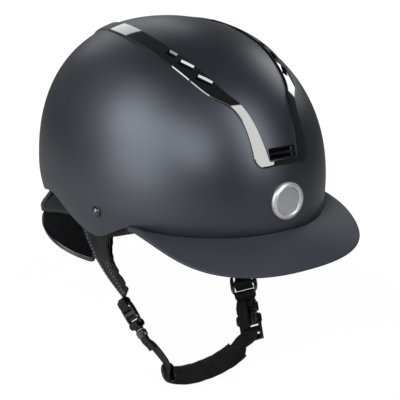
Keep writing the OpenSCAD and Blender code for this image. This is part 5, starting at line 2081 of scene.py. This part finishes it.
    def build(self) -> None:
        """Builds the moving half of the harness."""
        self.main()
        outside = flip(H.out(H.turn_keeper))
        first, second = np.array(self.side_route[0]), np.array(self.side_route[1])
        tail = [flip(H.at(s, H.leg, H.turn_keeper)) for s in (4.9, 10.0, 15.5)]
        tail += [first + 2.2 * outside, mix(first, second, 0.42) + 2.4 * outside]
        webbing("tail_web", tail, [flip(H.wide(H.turn_keeper))], ["strap_tail"], body="chin")
        dress(self.sleeve(), Finishes.SLEEVE, "chin", "pad_fabric", ["chin_pad"], padded=0.6)
        dress(self.keeper(), Finishes.BUCKLE, "keeper", "buckle_plastic", ["strap_keeper"])
        hard_piece("buckle_female", "buckle_socket", 0.45, Finishes.BUCKLE, "buckle_plastic", "chin")


@dataclass
class Buckle:
    """The buckle's male half with its prongs, and the short webbing that hangs it."""

    flap: tuple[tuple[float, float], ...] = (
        (5.2, -3), (7.4, -5), (12, -5.5), (20, -5.5), (27, -5.3), (32, -4.9))

    def build(self) -> None:
        """Builds the half that stays on the left side."""
        leg = [(4.9, 0.85), (5.5, 0.95), (7.3, 2.6)]
        arc = [(9.7 + 3.1 * math.sin(a), -3.1 * math.cos(a)) for a in np.radians(np.arange(0, 181, 30))]
        loop = [(s, -y) for s, y in leg] + arc + leg[::-1]
        for name, route, width, step, aside in (("buckle_loop_web", loop, 18, 0.5, 0.0),
                                                ("buckle_flap_web", self.flap, 12, 1.0, 1.4)):
            way = H.wide(H.turn_buckle)
            points = [H.at(s, y, H.turn_buckle, True) + aside * way for s, y in route]
            webbing(name, points, [way], ["buckle_strap"], width, step, body="buckle")
        for node, name, width, body in (("buckle_male", "buckle_plug", 0.35, "buckle"),
                                        ("latch_prong_front", "front_prong", 0.25, "prong_front"),
                                        ("latch_prong_rear", "rear_prong", 0.25, "prong_rear")):
            hard_piece(node, name, width, Finishes.BUCKLE, "buckle_plastic", body)


# ---- Studio ------------------------------------------------------------------------------------


@dataclass(frozen=True)
class Lamp:
    """One soft rectangular lamp, which points at the origin: its place, size and power."""

    name: str
    place: tuple[float, float, float]
    size: tuple[float, float]
    power: float

    def build(self) -> None:
        """Makes the lamp."""
        data = bpy.data.lights.new(self.name, "AREA")
        data.shape, data.size, data.size_y, data.energy = "RECTANGLE", *self.size, self.power
        aim = Vector((0, 0, 0)) - Vector(self.place)
        turn = aim.to_track_quat("-Z", "Y").to_matrix().to_4x4()
        link(self.name, data).matrix_world = Matrix.Translation(Vector(self.place)) @ turn
        LOG.info("lamp %s: %.1f W", self.name, self.power)


@dataclass
class Studio:
    """Camera at the photograph's angle, pale floor, white background and soft lamps."""

    place: tuple[float, float, float] = (-0.4204, -0.6416, 0.2440)
    right: tuple[float, float, float] = (0.8259, -0.5631, 0.0283)
    up: tuple[float, float, float] = (0.1686, 0.2947, 0.9406)
    back: tuple[float, float, float] = (-0.538, -0.7721, 0.3383)
    lens: float = 85.94
    floor_z: float = -0.1712
    floor_half: float = 6.0
    ambient: float = 0.07
    backdrop: float = 0.12
    lamps: tuple[Lamp, ...] = (
        Lamp("key_high", (-1.13, 0.15, 0.61), (0.7, 0.5), 6.2),
        Lamp("key_low", (-1.29, 0.0, 0.12), (0.7, 0.5), 4.4),
        Lamp("key_front", (-0.96, -0.63, 0.61), (0.6, 0.6), 5.4),
        Lamp("key_top", (-0.85, 0.30, 0.95), (0.6, 0.4), 1.4),
        Lamp("front_panel", (0.10, -1.016, 0.80), (0.62, 1.2), 9.5),
        Lamp("left_side", (1.10, 0.32, 0.62), (0.5, 0.5), 2.4),
        Lamp("rear_top", (0.26, 1.12, 0.63), (0.9, 0.4), 1.5))

    def camera(self) -> None:
        """Makes the scene's camera."""
        data = bpy.data.cameras.new("photo_camera")
        data.lens, data.sensor_width, data.clip_start = self.lens, 36.0, 0.01
        cam = link("photo_camera", data)
        rows = [(self.right[i], self.up[i], self.back[i], self.place[i]) for i in range(3)]
        cam.matrix_world = Matrix([*rows, (0, 0, 0, 1)])
        bpy.context.scene.camera = cam

    def world(self) -> None:
        """Makes the background: white to the camera and see-through parts, dim to all other rays."""
        world = bpy.data.worlds.new("studio_white")
        bpy.context.scene.world = world
        world.use_nodes = True
        world.node_tree.nodes.clear()
        t = Tree(world.node_tree)
        path = t.add("ShaderNodeLightPath").outputs
        seen = t.math("MAXIMUM", path["Is Camera Ray"], path["Is Transmission Ray"])
        white = t.add("ShaderNodeBackground", {"Color": (1, 1, 1, 1), "Strength": 1.0})
        _, behind, high = t.parts(t.add("ShaderNodeTexCoord").outputs["Generated"])
        share = t.times(t.ramp(behind, 0.35, 0.85), t.ramp(high, 0.55, 0.25))
        level = t.plus(t.times(share, self.backdrop), self.ambient)
        glow = t.add("ShaderNodeBackground", {"Color": (0.94, 0.97, 1.0, 1), "Strength": level})
        t.add("ShaderNodeOutputWorld", {"Surface": t.shaders(seen, glow, white).outputs[0]})

    def floor(self) -> None:
        """Makes the pale floor: white to the camera where no shadow falls, see-through from below."""
        s, z = self.floor_half, self.floor_z
        mesh = bpy.data.meshes.new("studio_floor")
        mesh.from_pydata([(-s, -s, z), (s, -s, z), (s, s, z), (-s, s, z)], [], [(0, 1, 2, 3)])
        obj = link("studio_floor", mesh)
        mat = bpy.data.materials.new("pale_floor")
        mat.use_nodes = True
        mat.node_tree.nodes.clear()
        t = Tree(mat.node_tree)
        tone = t.colours(t.noise(t.own(), 9.0, 2.0), (0.52, 0.52, 0.52, 1), (0.56, 0.56, 0.56, 1))
        matte = t.add("ShaderNodeBsdfPrincipled", {"Base Color": tone, "Roughness": 0.9,
                                                   "Specular IOR Level": 0.0})
        white = t.add("ShaderNodeEmission", {"Color": (1, 1, 1, 1), "Strength": 1.07})
        far = t.add("ShaderNodeVectorMath", {0: t.own()}, operation="LENGTH").outputs["Value"]
        plain = t.plus(t.times(t.ramp(far, 0.30, 0.75), 0.1), 0.9)
        seen = t.times(plain, t.add("ShaderNodeLightPath").outputs["Is Camera Ray"])
        under = t.add("ShaderNodeNewGeometry").outputs["Backfacing"]
        both = t.shaders(under, t.shaders(seen, matte, white), t.add("ShaderNodeBsdfTransparent"))
        t.add("ShaderNodeOutputMaterial", {"Surface": both.outputs[0]})
        mesh.materials.append(mat)

    def build(self) -> None:
        """Builds the camera, the background, the floor and the lamps."""
        self.camera()
        self.world()
        self.floor()
        for lamp in self.lamps:
            lamp.build()


@dataclass
class Helmet:
    """The whole helmet, built from its sub-assemblies."""

    def build(self) -> None:
        """Builds every sub-assembly."""
        Finishes.prepare()
        Runs.prepare()
        for part in (Shell(), Trim(), Badge(), Visor(), Rivets(), Comfort(), Nape(), ChinStrap(), Buckle()):
            part.build()
        for side, body in zip(SIDES, ("buckle", "loop_right")):
            EarGuard(side).build()
            StrapLoop(side, body).build()


def main() -> None:
    logging.basicConfig(level=logging.INFO, format="%(name)s: %(message)s")
    scene = bpy.context.scene
    scene.view_settings.view_transform = "Standard"
    Studio().build()
    Helmet().build()


if __name__ == "__main__":
    main()
